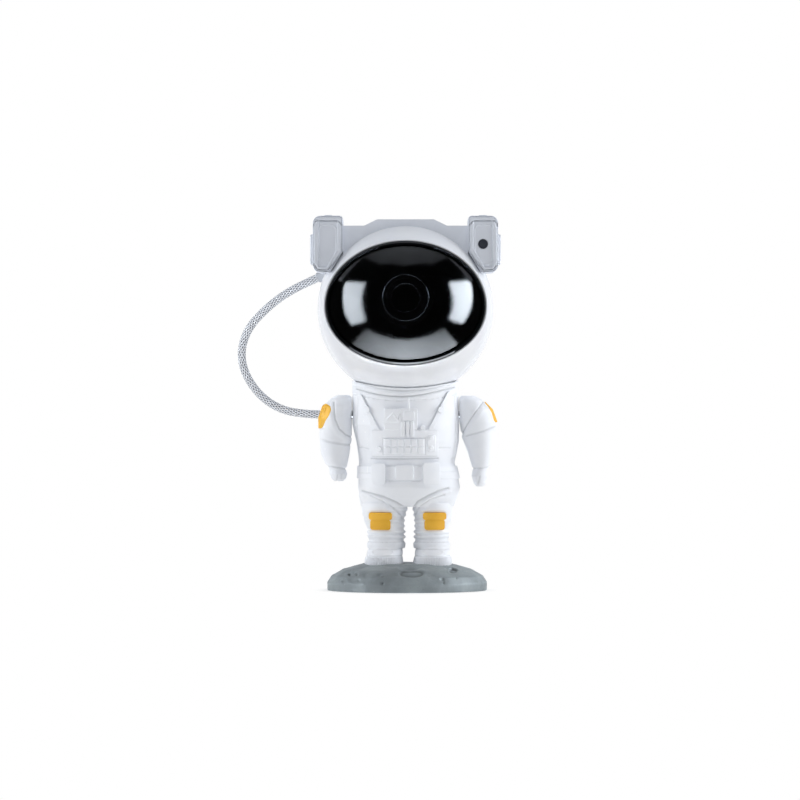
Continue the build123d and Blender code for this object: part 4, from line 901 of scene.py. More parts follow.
@dataclass
class Studio:
    """Camera, soft boxes, floor and the reflections that the visor carries. In metres."""

    width: float = 0.4824
    aim: Point3 = (-0.0033, 0.0, 0.1146)
    elevation: float = 0.2
    lens: float = 215.0
    sensor: float = 36.0
    view_units: float = 800.0
    far_clip: float = 20.0
    visor_radius: float = 0.0507
    card_distance: float = 0.6
    card_tint: Colour = (0.86, 0.93, 1.0)
    cards: tuple[Card, ...] = (LEFT_CARD, RIGHT_CARD, LOW_CARD, TOP_CARD)
    box_tint: Colour = (0.97, 0.98, 1.0)
    box_aim: Point3 = (0.0, 0.0, 0.11)
    boxes: tuple[SoftBox, ...] = (
        SoftBox("left_box", (-0.75, -0.08, 0.3), 0.5, 2.2),
        SoftBox("right_box", (0.75, -0.08, 0.3), 0.5, 3.0),
        SoftBox("top_box", (0.0, -0.5, 0.75), 0.45, 1.3),
    )
    fill_tint: Colour = (0.9, 0.94, 1.0)
    fill_ramp: tuple[float, ...] = (-0.6, 0.6, 0.2, 0.95)
    mirror_tint: Colour = (0.95, 0.97, 1.0)
    mirror_ramp: tuple[float, ...] = (0.55, 0.92, 0.012, 0.9)
    white: Colour = (1.0, 1.0, 1.0)
    floor_light: Colour = (0.93, 0.935, 0.94)
    floor_shade: Colour = (0.9, 0.905, 0.91)
    floor_grain: float = 900.0
    floor_reach: float = 1.6
    floor_sides: int = 96
    floor_fade: Band = (0.034, 0.058)

    def back(self) -> Vector:
        """Returns the direction from the projector to the camera, which stands straight in front."""
        rise = math.radians(self.elevation)
        return Vector((0.0, -math.cos(rise), math.sin(rise)))

    def camera_place(self) -> Vector:
        """Returns where the camera stands."""
        return Vector(self.aim) + self.back() * (self.width * self.lens / self.sensor)

    def make_camera(self) -> None:
        """Sets up a long lens, nearly level, that takes in the whole figure."""
        data = bpy.data.cameras.new("camera")
        data.lens, data.sensor_width, data.clip_end = self.lens, self.sensor, self.far_clip
        camera = put("camera", data)
        camera.location = self.camera_place()
        camera.rotation_mode = "QUATERNION"
        camera.rotation_quaternion = (-self.back()).to_track_quat("-Z", "Y")
        bpy.context.scene.camera = camera

    def seen_in_visor(self, spot: Point2) -> Vector:
        """Finds the place of a card point that the visor mirrors at one spot of the camera's view.

        Args:
            spot: the spot, in view units from the top left.

        Returns:
            The place, in metres.
        """
        back = self.back()
        right = Vector((0, 0, 1)).cross(back).normalized()
        up = back.cross(right)
        unit, half_view = self.width / self.view_units, self.view_units / 2
        target = Vector(self.aim) + right * ((spot[0] - half_view) * unit) + up * ((half_view - spot[1]) * unit)
        start, centre = self.camera_place(), Vector(HEAD_CENTRE)
        ray = (target - start).normalized()
        to_centre = start - centre
        half = ray.dot(to_centre)
        inside = max(0.0, half * half - to_centre.length_squared + self.visor_radius**2)
        hit = start + ray * (-half - math.sqrt(inside))
        normal = (hit - centre).normalized()
        return hit + (ray - 2 * ray.dot(normal) * normal) * self.card_distance

    def make_card(self, card: Card) -> None:
        """Hangs one card, which only the reflections show.

        Args:
            card: the card.
        """
        edge = [self.seen_in_visor(spot) for spot in card.outline]
        piece = add_fan(card.name, sum(edge, Vector()) / len(edge), edge)
        glow = piece.data.attributes.new("glow", "FLOAT", "POINT")
        glow.data.foreach_set("value", [card.middle, *(card.rim * (len(edge) // len(card.rim)))])
        material, wiring = blank_material(card.name)
        share = wiring.add("ShaderNodeAttribute", attribute_name="glow").outputs["Fac"]
        strength = wiring.maths("MULTIPLY", share, card.strength)
        light = wiring.add("ShaderNodeEmission", {"Color": rgba(self.card_tint), "Strength": strength})
        wiring.join(wiring.add("ShaderNodeOutputMaterial"), {0: light.outputs[0]})
        piece.data.materials.append(material)
        piece.visible_camera = piece.visible_diffuse = piece.visible_shadow = False

    def make_soft_box(self, box: SoftBox) -> None:
        """Hangs one soft box that faces the figure.

        Args:
            box: the soft box.
        """
        data = bpy.data.lights.new(box.name, "AREA")
        data.shape, data.size, data.energy, data.color = "SQUARE", box.size, box.power, self.box_tint
        lamp = put(box.name, data)
        lamp.location = box.place
        lamp.rotation_mode = "QUATERNION"
        lamp.rotation_quaternion = (Vector(self.box_aim) - Vector(box.place)).to_track_quat("-Z", "Y")
        lamp.visible_glossy = lamp.visible_transmission = False

    def make_sky(self) -> None:
        """Surrounds the set with light: white to the camera, bright behind the figure and dim in front of it."""
        world = bpy.data.worlds.new("studio")
        world.use_nodes = True
        world.node_tree.nodes.clear()
        wiring = Wiring(world.node_tree)
        path = wiring.add("ShaderNodeLightPath").outputs
        way = wiring.add("ShaderNodeSeparateXYZ", {0: wiring.add("ShaderNodeTexCoord").outputs["Generated"]})
        fill, mirror, white = (
            wiring.add("ShaderNodeBackground", {"Color": rgba(tint), "Strength": strength}).outputs[0]
            for tint, strength in (
                (self.fill_tint, wiring.ramp(way.outputs[1], *self.fill_ramp)),
                (self.mirror_tint, wiring.ramp(way.outputs[1], *self.mirror_ramp)),
                (self.white, 1.0),
            )
        )
        sharp = wiring.maths("MAXIMUM", path["Is Glossy Ray"], path["Is Transmission Ray"])
        unseen = wiring.add("ShaderNodeMixShader", {0: sharp, 1: fill, 2: mirror})
        sky = wiring.add("ShaderNodeMixShader", {0: path["Is Camera Ray"], 1: unseen.outputs[0], 2: white})
        wiring.join(wiring.add("ShaderNodeOutputWorld"), {0: sky.outputs[0]})
        bpy.context.scene.world = world
        bpy.context.scene.view_settings.view_transform = "Standard"

    def make_floor(self) -> None:
        """Lays a pale round floor that fades into the white surround."""
        turns = [FULL_TURN * i / self.floor_sides for i in range(self.floor_sides)]
        ring = [(self.floor_reach * math.cos(turn), self.floor_reach * math.sin(turn), 0.0) for turn in turns]
        floor = add_fan("floor", (0.0, 0.0, 0.0), ring)
        material, wiring = blank_material("floor_white")
        place = wiring.add("ShaderNodeTexCoord").outputs["Object"]
        distance = wiring.add("ShaderNodeVectorMath", {0: place}, operation="LENGTH").outputs["Value"]
        speck = wiring.add("ShaderNodeTexNoise", {"Vector": place, "Scale": self.floor_grain})
        pale = wiring.blend(speck.outputs[0], rgba(self.floor_shade), rgba(self.floor_light))
        near = wiring.add("ShaderNodeBsdfDiffuse", {"Color": pale})
        far = wiring.add("ShaderNodeEmission", {"Color": rgba(self.white), "Strength": 1.0})
        fade = wiring.ramp(distance, *self.floor_fade)
        mix = wiring.add("ShaderNodeMixShader", {0: fade, 1: near.outputs[0], 2: far.outputs[0]})
        wiring.join(wiring.add("ShaderNodeOutputMaterial"), {0: mix.outputs[0]})
        floor.data.materials.append(material)
        floor.visible_glossy = floor.visible_transmission = False

    def make_lights(self) -> None:
        """Sets up the sky, the soft boxes, the cards and the floor."""
        self.make_sky()
        for box in self.boxes:
            self.make_soft_box(box)
        for card in self.cards:
            self.make_card(card)
        self.make_floor()


def travelled(line: np.ndarray) -> np.ndarray:
    """Returns how far along a line each of its points is."""
    return np.concatenate([[0.0], np.cumsum(np.linalg.norm(np.diff(line, axis=0), axis=1))])


def headings(line: np.ndarray) -> np.ndarray:
    """Returns the direction of a line at each of its points."""
    ways = np.gradient(line, axis=0)
    return ways / np.linalg.norm(ways, axis=1)[:, None]


@dataclass
class Hose:
    """The braided hose from the backpack up to the helmet. In millimetres."""

    shop: Workshop
    route: tuple[Point3, ...] = (
        (-31.5, 36.0, 105.8), (-44.0, 36.0, 105.8), (-58.5, 36.4, 105.6), (-76.4, 35.6, 108.2), (-91.5, 34.0, 119.2),
        (-101.0, 32.5, 137.5), (-97.8, 30.5, 156.0), (-84.2, 28.0, 171.1), (-67.9, 25.0, 182.6), (-53.0, 21.9, 188.8),
    )
    radius: float = 2.5
    ring: int = 40
    step: float = 0.4
    pitch: float = 3.2
    weave: float = 0.16
    split: float = 150.0
    held: float = 1.0

    def centreline(self) -> np.ndarray:
        """Returns even points along the route's smooth line, in metres."""
        data = bpy.data.curves.new("hose_line", "CURVE")
        data.dimensions, data.resolution_u = "3D", 48
        spline = data.splines.new("NURBS")
        spline.points.add(len(self.route) - 1)
        for point, place in zip(spline.points, self.route):
            point.co = (*(c * MM for c in place), 1.0)
        spline.order_u = 3
        spline.use_endpoint_u = True
        carrier = put("hose_line", data)
        line = bpy.data.meshes.new_from_object(carrier.evaluated_get(bpy.context.evaluated_depsgraph_get()))
        points = np.array([v.co for v in line.vertices])
        bpy.data.objects.remove(carrier)
        travel = travelled(points)
        even = np.linspace(0.0, travel[-1], int(travel[-1] / (self.step * MM)))
        return np.stack([np.interp(even, travel, points[:, k]) for k in range(3)], axis=1)

    def sideways(self, line: np.ndarray) -> np.ndarray:
        """Carries one sideways direction along the line without a twist.

        Args:
            line: the line's points.

        Returns:
            The direction at each point.
        """
        across = [np.array([0.0, 1.0, 0.0])]
        for way in headings(line):
            side = across[-1] - way * (across[-1] @ way)
            across.append(side / np.linalg.norm(side))
        return np.array(across[1:])

    def tube(self, name: str, line: np.ndarray, start: float, across: np.ndarray) -> Piece:
        """Sweeps the sleeve along part of the line.

        Args:
            name: the piece's name.
            line: the points it follows.
            start: how far along the hose the part begins, in metres.
            across: the sideways direction at each point.

        Returns:
            The sleeve, with its braid coordinates.
        """
        third = np.cross(headings(line), across)
        turn = np.linspace(0.0, FULL_TURN, self.ring, endpoint=False)
        lane = (start + travelled(line)) / (self.pitch * MM)
        around = turn / FULL_TURN * HOSE_STRANDS
        lanes = (lane[:, None] + sign * around[None, :] for sign in (1, -1))
        lift = np.maximum(*(np.abs((strand + 0.5) % 1.0 - 0.5) for strand in lanes)) * 2
        radius = (self.radius - self.weave + self.weave * lift) * MM
        spokes = np.cos(turn)[None, :, None] * across[:, None, :] + np.sin(turn)[None, :, None] * third[:, None, :]
        rings = line[:, None, :] + radius[..., None] * spokes
        piece = add_mesh(name, rings.reshape(-1, 3), tube_faces(len(line), self.ring))
        values = []
        for i in range(len(line) - 1):
            for j in range(self.ring):
                for a, b in ((i, j), (i, j + 1), (i + 1, j + 1), (i + 1, j)):
                    values += [lane[a], b / self.ring]
        piece.data.uv_layers.new(name="sleeve").data.foreach_set("uv", values)
        return self.shop.finish_piece(piece, HOSE_BRAID)

    def build(self) -> None:
        """Makes the two stretches of the hose, split where the hose rises past the split height."""
        line = self.centreline()
        across, travel = self.sideways(line), travelled(line)
        cut = int(np.argmax(line[:, 2] > self.split * MM))
        for name, part, bodies, end in (
            ("hose_lower", slice(0, cut + 1), ("stand", "neck"), 0),
            ("hose_upper", slice(cut, None), ("neck", "head"), -1),
        ):
            path, span = line[part], travel[part]
            piece = self.tube(name, path, span[0], across[part])
            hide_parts("hose")
            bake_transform(piece)
        LOG.info("hose is %.1f mm long", travel[-1] / MM)


@dataclass
class MoonBase:
    """The low moon dome that the figure stands on. In millimetres.

    rim_band is the height where the ground starts to roll, and how far up it takes to roll fully.
    """

    shop: Workshop
    voxel: float = 0.5
    roll: float = 0.16
    roll_fineness: float = 0.16
    lumps: float = 0.05
    lump_fineness: float = 0.9
    sink: float = 0.12
    roughness: float = 0.9
    lacunarity: float = 2.1
    octaves: int = 5
    facing_gain: float = 3.0
    facing_lift: float = 0.6
    rim_band: Band = (1.2, 2.0)
    boots: tuple[float, float] = (-13.2, 16.5)
    boot_y: float = -3.5
    boot_reach: float = 11.5
    boot_narrowing: float = 0.7
    boot_power: int = 8
    craters: tuple[Stroke, ...] = (
        Stroke(oval(3.6, 11.5, 8.2, 2.9), 0.8, 0.35), Stroke(oval(3.6, 11.6, 6.3, 1.6), 1.1, -0.75),
        Stroke(oval(28.5, 12.6, 3.2, 1.7), 0.6, 0.3), Stroke(oval(28.6, 12.7, 1.7, 0.6), 1.0, -0.8),
    )
    pits: tuple[Dimple, ...] = (
        Dimple(-13.8, 5.9, 0.7, -1.0), Dimple(22.7, 6.0, 0.6, -0.6), Dimple(-33.6, 10.3, 0.85, -0.7),
        Dimple(-29.2, 10.5, 0.7, -0.7), Dimple(-24.6, 10.0, 1.7, -0.4), Dimple(-33.8, 6.0, 1.3, 0.3),
        Dimple(-13.4, 9.7, 0.6, -0.45), Dimple(30.4, 8.6, 0.6, -0.4), Dimple(-37.6, 6.6, 0.8, -0.35),
        Dimple(-28.2, 7.4, 0.8, -0.3),
    )

    def build(self) -> None:
        """Casts the dome again with rolling, pitted ground, left even under the boots and at the rim."""
        piece = recast("moon_ground", [self.shop.frame["nodes"]["moon_base"]], self.voxel, 2)
        places, ways = corners(piece) / MM, facings(piece)
        grain = (self.roughness, self.lacunarity, self.octaves)
        rolling = np.array([noise.fractal(Vector(p) * self.roll_fineness, *grain) for p in places])
        small = np.array([noise.noise(Vector(p) * self.lump_fineness) for p in places])
        outside = np.clip(ways[:, 2] * self.facing_gain + self.facing_lift, 0.0, 1.0)
        outside *= slope(places[:, 2], *self.rim_band)
        for boot in self.boots:
            gap = np.hypot(places[:, 0] - boot, (places[:, 1] - self.boot_y) * self.boot_narrowing)
            outside *= 1.0 - bell(gap, self.boot_reach, self.boot_power)
        sculpt(piece, self.craters, self.pits, (rolling * self.roll + small * self.lumps - self.sink) * outside)
        self.shop.stand_in(piece, "moon_base", "stand", MOON_GREY)
        self.shop.dress({
            INNER_BLACK: ("base_plate",), CAST_IRON: ("ballast_weight",), RUBBER_BLACK: ("rubber_feet",),
            BARE_STEEL: ("base_screws", "leg_screws"),
        })


HIP_FOLDS: tuple[Stroke, ...] = (
    Stroke(((-26.5, 60.0), (-20.0, 58.4), (-13.1, 56.6), (-5.5, 53.2), (-0.6, 50.2)), 0.75, -0.8),
    Stroke(((-25.0, 57.9), (-17.5, 56.0), (-10.5, 53.0), (-4.0, 48.8)), 1.1, 0.6),
    Stroke(((-21.0, 57.2), (-14.0, 54.2), (-8.4, 50.6), (-4.2, 46.4), (-1.6, 43.6)), 0.65, -0.6),
    Stroke(((-16.0, 52.6), (-9.4, 48.2), (-4.6, 43.4)), 0.9, 0.35),
    Stroke(((-29.0, 58.4), (-26.4, 52.4)), 0.8, -0.35),
    Stroke(((25.6, 61.6), (19.5, 60.0), (14.2, 57.6), (7.3, 53.6), (4.6, 49.6)), 0.75, -0.8),
    Stroke(((26.5, 59.6), (18.0, 57.4), (11.6, 54.0), (7.4, 50.2)), 1.1, 0.6),
    Stroke(((23.0, 57.6), (14.6, 55.0), (9.2, 51.2), (6.4, 47.0), (5.6, 43.8)), 0.65, -0.6),
    Stroke(((18.4, 53.2), (12.0, 49.2), (8.2, 44.6)), 0.9, 0.35),
)


@dataclass
class Torso:
    """Torso shells, belt, chest console, neck and backpack. In millimetres."""

    shop: Workshop
    voxel: float = 0.4
    fine_voxel: float = 0.2
    soften: int = 2
    folds: tuple[Stroke, ...] = HIP_FOLDS + (
        Stroke((
            (-29.6, 121.2), (-22.5, 119.2), (-16.2, 117.8), (-9.0, 117.0), (-2.5, 116.7), (4.0, 117.1), (9.6, 117.8),
            (19.0, 119.7), (29.4, 122.2),
        ), 0.5, -0.85),
        Stroke(((-29.8, 123.2), (-16.2, 119.6), (-2.5, 118.4), (9.6, 119.6), (29.6, 124.0)), 1.0, 0.4),
        Stroke(((-30.4, 125.4), (-16.2, 121.8), (-4.0, 120.1), (5.0, 120.2), (17.2, 121.6), (30.8, 125.6)), 0.45, -0.5),
        Stroke(((-28.6, 117.0), (-29.2, 104.0), (-29.4, 92.0), (-28.2, 85.0), (-26.8, 77.0)), 0.5, -0.3),
        Stroke(((29.4, 117.0), (30.6, 104.0), (30.2, 92.0), (29.0, 84.0), (28.2, 77.0)), 0.5, -0.3),
        Stroke(((-28.5, 86.3), (-25.0, 86.0), (-22.2, 85.2)), 0.5, -0.4),
        Stroke(((20.2, 85.9), (26.8, 85.9)), 0.5, -0.4),
        Stroke(((-31.0, 80.2), (-27.0, 79.0)), 0.8, -0.35),
        Stroke(((28.0, 79.2), (31.0, 80.4)), 0.8, -0.35),
        Stroke(((-20.6, 79.6), (19.4, 79.6)), 0.5, -0.6),
        Stroke(((-9.6, 66.4), (8.6, 66.4)), 0.6, -0.35),
    )
    belt_folds: tuple[Stroke, ...] = (
        Stroke(((-29.0, 71.0), (-21.0, 71.0)), 0.4, -0.15), Stroke(((21.2, 71.6), (30.0, 71.6)), 0.4, -0.15),
    )
    console_lines: tuple[Stroke, ...] = (
        Stroke(((-10.9, 103.2), (-7.5, 106.8), (-4.9, 102.9)), 0.45, 0.4),
        Stroke(((-4.3, 103.6), (-3.2, 106.2)), 0.5, -0.35),
        Stroke(((-13.5, 82.0), (-13.5, 91.8), (11.9, 91.8), (11.9, 82.0), (-13.5, 82.0)), 0.3, -0.3),
        Stroke(((-12.9, 97.4), (-12.9, 109.6), (-3.4, 109.6)), 0.3, -0.25),
        Stroke(((7.6, 97.2), (7.6, 108.4)), 0.3, -0.3),
        Stroke(((-20.4, 96.6), (-13.4, 96.6)), 0.3, -0.25), Stroke(((8.0, 96.6), (19.2, 96.6)), 0.3, -0.25),
        Stroke(((-20.6, 80.8), (19.4, 80.8)), 0.35, -0.35),
    )

    def build(self) -> None:
        """Recasts the torso with its folds and dresses what it carries."""
        folds = mirrored(self.folds)
        for name, node, voxel, strokes in (
            ("torso_front_suit", "torso_front_shell", self.voxel, folds),
            ("torso_back_suit", "torso_back_shell", self.voxel, folds),
            ("belt_webbing", "belt", self.fine_voxel, self.belt_folds),
            ("console_block", "chest_console", self.fine_voxel, self.console_lines),
        ):
            piece = recast(name, [self.shop.frame["nodes"][node]], voxel, self.soften)
            sculpt(piece, strokes)
            self.shop.stand_in(piece, node, "stand", SUIT_WHITE)
        self.shop.dress({
            BOARD_GREEN: ("control_board", "button_board"),
            BARE_STEEL: ("torso_screws", "backpack_screws", "usb_socket", "neck_magnet"),
            FRAME_GREY: ("neck_bearing", "neck_cup"), SHELL_WHITE: ("backpack_shell", "backpack_cover"),
            BUTTON_WHITE: ("power_button", "star_button", "nebula_button", "timer_button"),
            GLAND_GREY: ("lower_hose_gland",),
        })


@dataclass(frozen=True)
class LegShape:
    """What differs from one leg to the other. side is -1 for the leg at -X. In millimetres."""

    word: str
    side: int
    boot_x: float
    oval_x: float
    thigh: float


@dataclass
class Legs:
    """Both legs with their boots and knee patches. In millimetres.

    Each band is the height where a relief starts and the length over which it comes in, which is below 0
    where the relief comes in downwards.
    """

    shop: Workshop
    shapes: tuple[LegShape, ...] = (LegShape("left", -1, -13.4, -13.7, 2.0), LegShape("right", 1, 16.5, 16.2, 0.5))
    voxel: float = 0.3
    pad_voxel: float = 0.2
    boot_y: float = -3.5
    boot_half: Point2 = (11.05, 16.2)
    inner_ease: float = 8.0
    outer_share: float = 0.15
    ring_pitch: float = 3.3
    ring_crest: float = 45.25
    ring_rise: float = 0.36
    rib_count: int = 66
    rib_rise: float = 0.4
    cuff_rise: float = 0.4
    cuff_height: float = 27.0
    cuff_half: float = 1.7
    cuff_power: int = 4
    trouser_foot: Band = (29.6, 1.2)
    trouser_top: Band = (52.5, -2.0)
    sole_foot: Band = (14.5, 0.8)
    sole_top: Band = (20.6, -0.8)
    sole_flare: float = 1.1
    flare_top: Band = (19.5, -4.5)
    thigh_foot: Band = (43.0, 7.0)
    hip_height: float = 49.4
    hip_tuck: float = 2.4
    seam_reach: float = 13.0
    boot_seams: tuple[Point3, ...] = ((21.0, 0.4, -0.35), (24.9, 0.4, -0.35), (29.2, 0.4, -0.4))
    boot_oval: Point3 = (23.2, 6.3, 2.05)
    roll: Point3 = (32.6, 0.8, 0.25)

    def relief(self, places: np.ndarray, leg: LegShape) -> np.ndarray:
        """Works out the corrugated trouser, the cuff, the ribbed sole and the fuller inner thigh.

        Args:
            places: the corners, in millimetres.
            leg: which leg it is.

        Returns:
            The rise of each corner, in millimetres.
        """
        x, y, z = places.T
        outward = leg.side * (x - leg.boot_x)
        inner = np.clip(-outward / self.inner_ease, self.outer_share, 1.0)
        trouser = slope(z, *self.trouser_foot) * slope(z, *self.trouser_top)
        rings = self.ring_rise * np.cos(FULL_TURN * (z - self.ring_crest) / self.ring_pitch) * trouser * inner
        turn = np.arctan2((y - self.boot_y) / self.boot_half[1], outward / self.boot_half[0])
        sole = slope(z, *self.sole_foot) * slope(z, *self.sole_top)
        cuff = self.cuff_rise * bell(z - self.cuff_height, self.cuff_half, self.cuff_power)
        fuller = self.sole_flare * slope(z, *self.flare_top) + leg.thigh * slope(z, *self.thigh_foot)
        flare = fuller * slope(outward, 0.0, -self.inner_ease)
        return rings + cuff + flare + self.rib_rise * np.cos(self.rib_count * turn) * sole

    def strokes(self, leg: LegShape) -> tuple[Stroke, ...]:
        """Draws the seams of one leg and boot.

        Args:
            leg: which leg it is.

        Returns:
            The hip's folds, the boot's oval, the seams round the boot and the roll over them.
        """
        left, right = leg.boot_x - self.seam_reach, leg.boot_x + self.seam_reach
        seams = tuple(Stroke(((left, z), (right, z)), width, rise, Side.BOTH) for z, width, rise in self.boot_seams)
        height, width, rise = self.roll
        roll = Stroke(((left, height), (right, height)), width, rise)
        return (*HIP_FOLDS, Stroke(oval(leg.oval_x, *self.boot_oval), 0.4, 0.4), *seams, roll)

    def build(self) -> None:
        """Recasts each leg with its rings, ribs and seams, and tucks its top up into the torso."""
        nodes = self.shop.frame["nodes"]
        for leg in self.shapes:
            piece = recast(leg.word + "_leg_suit", [nodes[leg.word + "_leg"]], self.voxel, 3)
            sculpt(piece, self.strokes(leg), (), self.relief(corners(piece) / MM, leg))
            places = corners(piece)
            places[:, 2] += self.hip_tuck * MM * slope(places[:, 2] / MM, self.hip_height, 1.0)
            place_corners(piece, places)
            self.shop.stand_in(piece, leg.word + "_leg", "stand", SUIT_WHITE)
            patch = recast(leg.word + "_knee_pad", [nodes[leg.word + "_knee_patch"]], self.pad_voxel, 1)
            self.shop.stand_in(patch, leg.word + "_knee_patch", "stand", PATCH_YELLOW)


@dataclass
class Arms:
    """Both arms, which turn at the shoulders, with their patches. In millimetres."""

    shop: Workshop
    voxel: float = 0.32
    soften: int = 5
    left_seams: tuple[Stroke, ...] = (
        Stroke((
            (-43.1, 113.4), (-42.8, 107.5), (-42.2, 103.0), (-39.6, 97.2), (-35.6, 93.8), (-31.6, 91.9),
        ), 0.55, -0.65, Side.BOTH),
        Stroke(((-45.2, 106.0), (-43.8, 99.6), (-40.6, 94.6), (-36.6, 91.6)), 1.3, 0.35, Side.BOTH),
        Stroke(((-50.0, 90.6), (-45.0, 89.4), (-39.0, 88.4), (-33.0, 87.6)), 0.9, -0.5, Side.BOTH),
        Stroke(((-48.6, 74.8), (-42.0, 74.2), (-35.6, 73.2)), 0.6, -0.6, Side.BOTH),
        Stroke(((-41.4, 66.0), (-40.6, 69.8)), 0.5, -0.4, Side.BOTH),
        Stroke(((-38.6, 67.0), (-38.2, 70.2)), 0.5, -0.3, Side.BOTH),
    )
    right_seams: tuple[Stroke, ...] = (
        Stroke(((33.4, 93.6), (36.0, 98.4), (39.4, 103.6), (43.4, 109.2), (47.0, 113.8)), 0.55, -0.65, Side.BOTH),
        Stroke(((36.8, 95.6), (41.0, 101.0), (46.4, 108.4)), 1.3, 0.35, Side.BOTH),
        Stroke(((36.6, 93.0), (41.6, 94.4), (46.4, 95.8), (54.0, 98.4)), 0.8, -0.6, Side.BOTH),
        Stroke(((40.2, 73.4), (46.0, 73.6), (52.4, 74.4)), 0.6, -0.55, Side.BOTH),
        Stroke(((43.6, 64.6), (44.6, 68.8)), 0.5, -0.4, Side.BOTH),
    )
    left_pad: tuple[Point2, ...] = (
        (-58.0, 113.5), (-47.4, 112.6), (-45.0, 111.2), (-44.4, 108.5), (-45.6, 105.4), (-47.8, 102.0), (-49.4, 98.3),
        (-50.6, 97.2), (-58.0, 97.2),
    )
    right_pad: tuple[Point2, ...] = (
        (47.4, 117.0), (47.4, 112.9), (49.6, 110.2), (51.7, 106.4), (52.9, 102.2), (54.0, 100.9), (60.0, 100.9),
        (60.0, 117.0),
    )
    pad_height: float = 0.15
    pad_edge: float = 0.35

    def lift_pad(self, name: str, skin: Piece, outline: tuple[Point2, ...]) -> Piece:
        """Lifts a soft pad out of an arm's skin.

        Args:
            name: the pad's name.
            skin: the arm's skin.
            outline: the pad's edge, drawn from the front.

        Returns:
            The pad, whose edge dips under the skin.
        """
        places, ways = corners(skin) / MM, facings(skin)
        depth = inset(places[:, FRONT_AXES], outline) + self.pad_edge
        kept = [tuple(f.vertices) for f in skin.data.polygons if min(depth[v] for v in f.vertices) > 0]
        used = sorted({v for f in kept for v in f})
        number = {v: i for i, v in enumerate(used)}
        eased = slope(depth[used], 0.0, 1.0)
        rise = (self.pad_height + self.pad_edge) * eased * eased * (3 - 2 * eased) - self.pad_edge
        points = (places[used] + ways[used] * rise[:, None]) * MM
        return add_mesh(name, points, [tuple(number[v] for v in f) for f in kept])

    def build(self) -> None:
        """Recasts each arm with its seams and lifts its pad."""
        nodes = self.shop.frame["nodes"]
        for arm, seams, outline in (
            ("left_arm", self.left_seams, self.left_pad), ("right_arm", self.right_seams, self.right_pad),
        ):
            piece = recast(arm + "_suit", [nodes[arm], nodes[arm + "_patch"]], self.voxel, self.soften)
            sculpt(piece, seams)
            self.shop.stand_in(piece, arm, arm, SUIT_WHITE)
            self.shop.stand_in(self.lift_pad(arm + "_pad", piece, outline), arm + "_patch", arm, PATCH_YELLOW)
        self.shop.dress({BARE_STEEL: ("left_shoulder_pin", "right_shoulder_pin")})


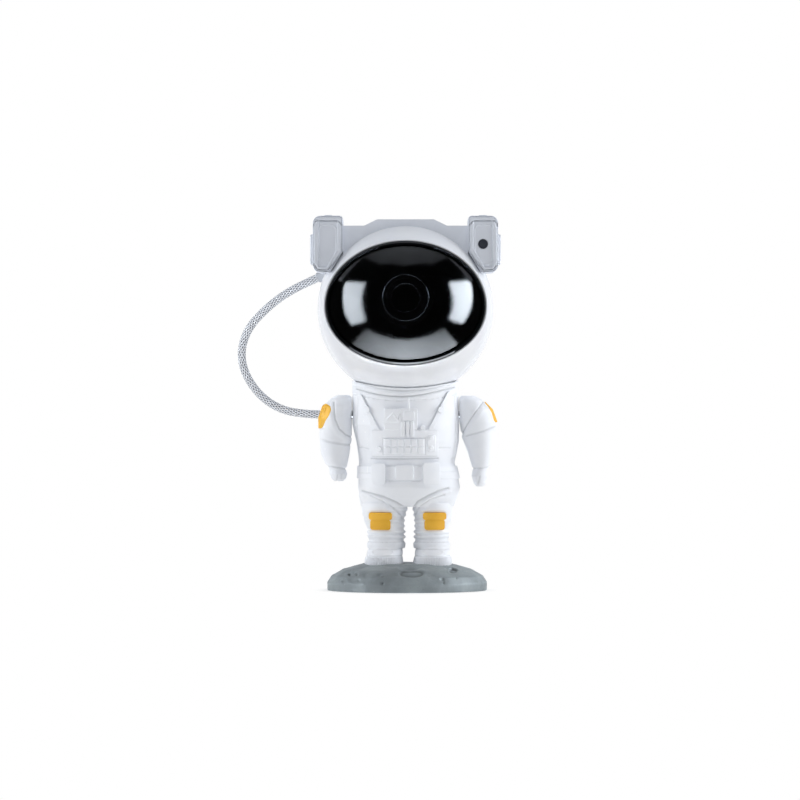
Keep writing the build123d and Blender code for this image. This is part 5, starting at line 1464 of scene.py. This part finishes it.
@dataclass
class Head:
    """Helmet, visor, crown frame, ear pods and the light engine inside. In millimetres."""

    shop: Workshop
    pod_voxel: float = 0.24
    body_soften: int = 45
    lid_soften: int = 4
    pod_seam: tuple[Point2, ...] = (
        (38.0, 218.6), (40.2, 221.8), (53.7, 221.8), (55.2, 217.6), (55.2, 196.9), (52.8, 192.8), (46.6, 192.2),
        (38.0, 203.2), (38.0, 218.6),
    )
    pod_panel: tuple[Point2, ...] = (
        (41.3, 216.8), (43.2, 219.4), (50.7, 219.4), (52.2, 216.8), (52.2, 199.1), (50.0, 195.8), (46.2, 195.8),
        (41.3, 202.9), (41.3, 216.8),
    )
    lens_rings: tuple[Point2, ...] = ((13.5, 0.0), (8.5, 5.4))
    ring_half: float = 0.24
    ring_sides: int = 128
    bead_sides: int = 10

    def build(self) -> None:
        """Recasts the pods, turns the lens rings and dresses every part of the head."""
        for side, word in ((-1, "left"), (1, "right")):
            self.recast_pod(side, word)
        self.turn_rings()
        self.shop.dress({
            SHELL_WHITE: ("helmet_front_shell", "helmet_rear_shell"), FRAME_GREY: ("crown_frame",),
            BEZEL_GREY: ("visor_bezel",), VISOR_SMOKE: ("visor",), LASER_GLASS: ("laser_window",),
            GLAND_GREY: ("upper_hose_gland",), BARE_STEEL: ("helmet_screws",),
            # Motors and keeper plate are steel, painted near black as painted shade for the dark inside of the helmet.
            STEEL_DARKENED_AS_SHADE: ("keeper_plate", "wheel_motor", "grating_motor"),
            INNER_BLACK: ("engine_chassis", "laser_module", "lens_barrel"), ALUMINIUM: ("heat_sink",),
            LENS_GLASS: ("condenser_lens", "projection_lens", "grating_disc"), RIPPLE_CLEAR: ("ripple_wheel",),
            BOARD_GREEN: ("led_board",),
        })

    def recast_pod(self, side: int, word: str) -> None:
        """Recasts one ear pod and its cover with softer corners and the seams of the cover.

        Args:
            side: -1 for the pod at -X, 1 for the other.
            word: the side's name in the nodes.
        """
        seam, panel = (tuple((side * x, z) for x, z in line) for line in (self.pod_seam, self.pod_panel))
        strokes = (Stroke(seam, 0.42, -0.95), Stroke(panel, 0.32, 0.3))
        for name, node, soften in (
            ("_pod_body", "_ear_pod", self.body_soften), ("_pod_lid", "_pod_cover", self.lid_soften),
        ):
            piece = recast(word + name, [self.shop.frame["nodes"][word + node]], self.pod_voxel, soften)
            sculpt(piece, strokes)
            self.shop.stand_in(piece, word + node, "head", FRAME_GREY)

    def turn_rings(self) -> None:
        """Turns the thin bright edges of the lens barrel and of the stop ring in it."""
        barrel = corners(self.shop.frame["nodes"]["lens_barrel"]) / MM
        front, height = barrel[:, 1].min(), (barrel[:, 2].min() + barrel[:, 2].max()) / 2
        turn = np.linspace(0, FULL_TURN, self.ring_sides, endpoint=False)[:, None]
        bead = np.linspace(0, FULL_TURN, self.bead_sides, endpoint=False)[None, :]
        for number, (radius, depth) in enumerate(self.lens_rings, 1):
            reach = radius + self.ring_half * np.cos(bead)
            along = np.broadcast_to(front + depth + self.ring_half * np.sin(bead), (self.ring_sides, self.bead_sides))
            points = np.stack([reach * np.cos(turn), along, height + reach * np.sin(turn)], axis=-1)
            faces = tube_faces(self.ring_sides, self.bead_sides, closed=True)
            piece = add_mesh(f"lens_ring_{number}", points.reshape(-1, 3) * MM, faces)
            self.shop.finish_piece(piece, LENS_EDGE, "aluminium")
            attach(piece, "head")


def main() -> None:
    """Builds the studio, then each sub-assembly from the ground up."""
    logging.basicConfig(level=logging.INFO, format="%(name)s: %(message)s")
    for leftover in list(bpy.data.objects):
        bpy.data.objects.remove(leftover)
    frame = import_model()
    studio = Studio()
    studio.make_camera()
    shop = Workshop(frame)
    shop.effects.build()
    Hose(shop).build()
    studio.make_lights()
    for assembly in (MoonBase(shop), Legs(shop), Torso(shop), Arms(shop), Head(shop)):
        assembly.build()
        LOG.info("%s built", type(assembly).__name__)


if __name__ == "__main__":
    main()
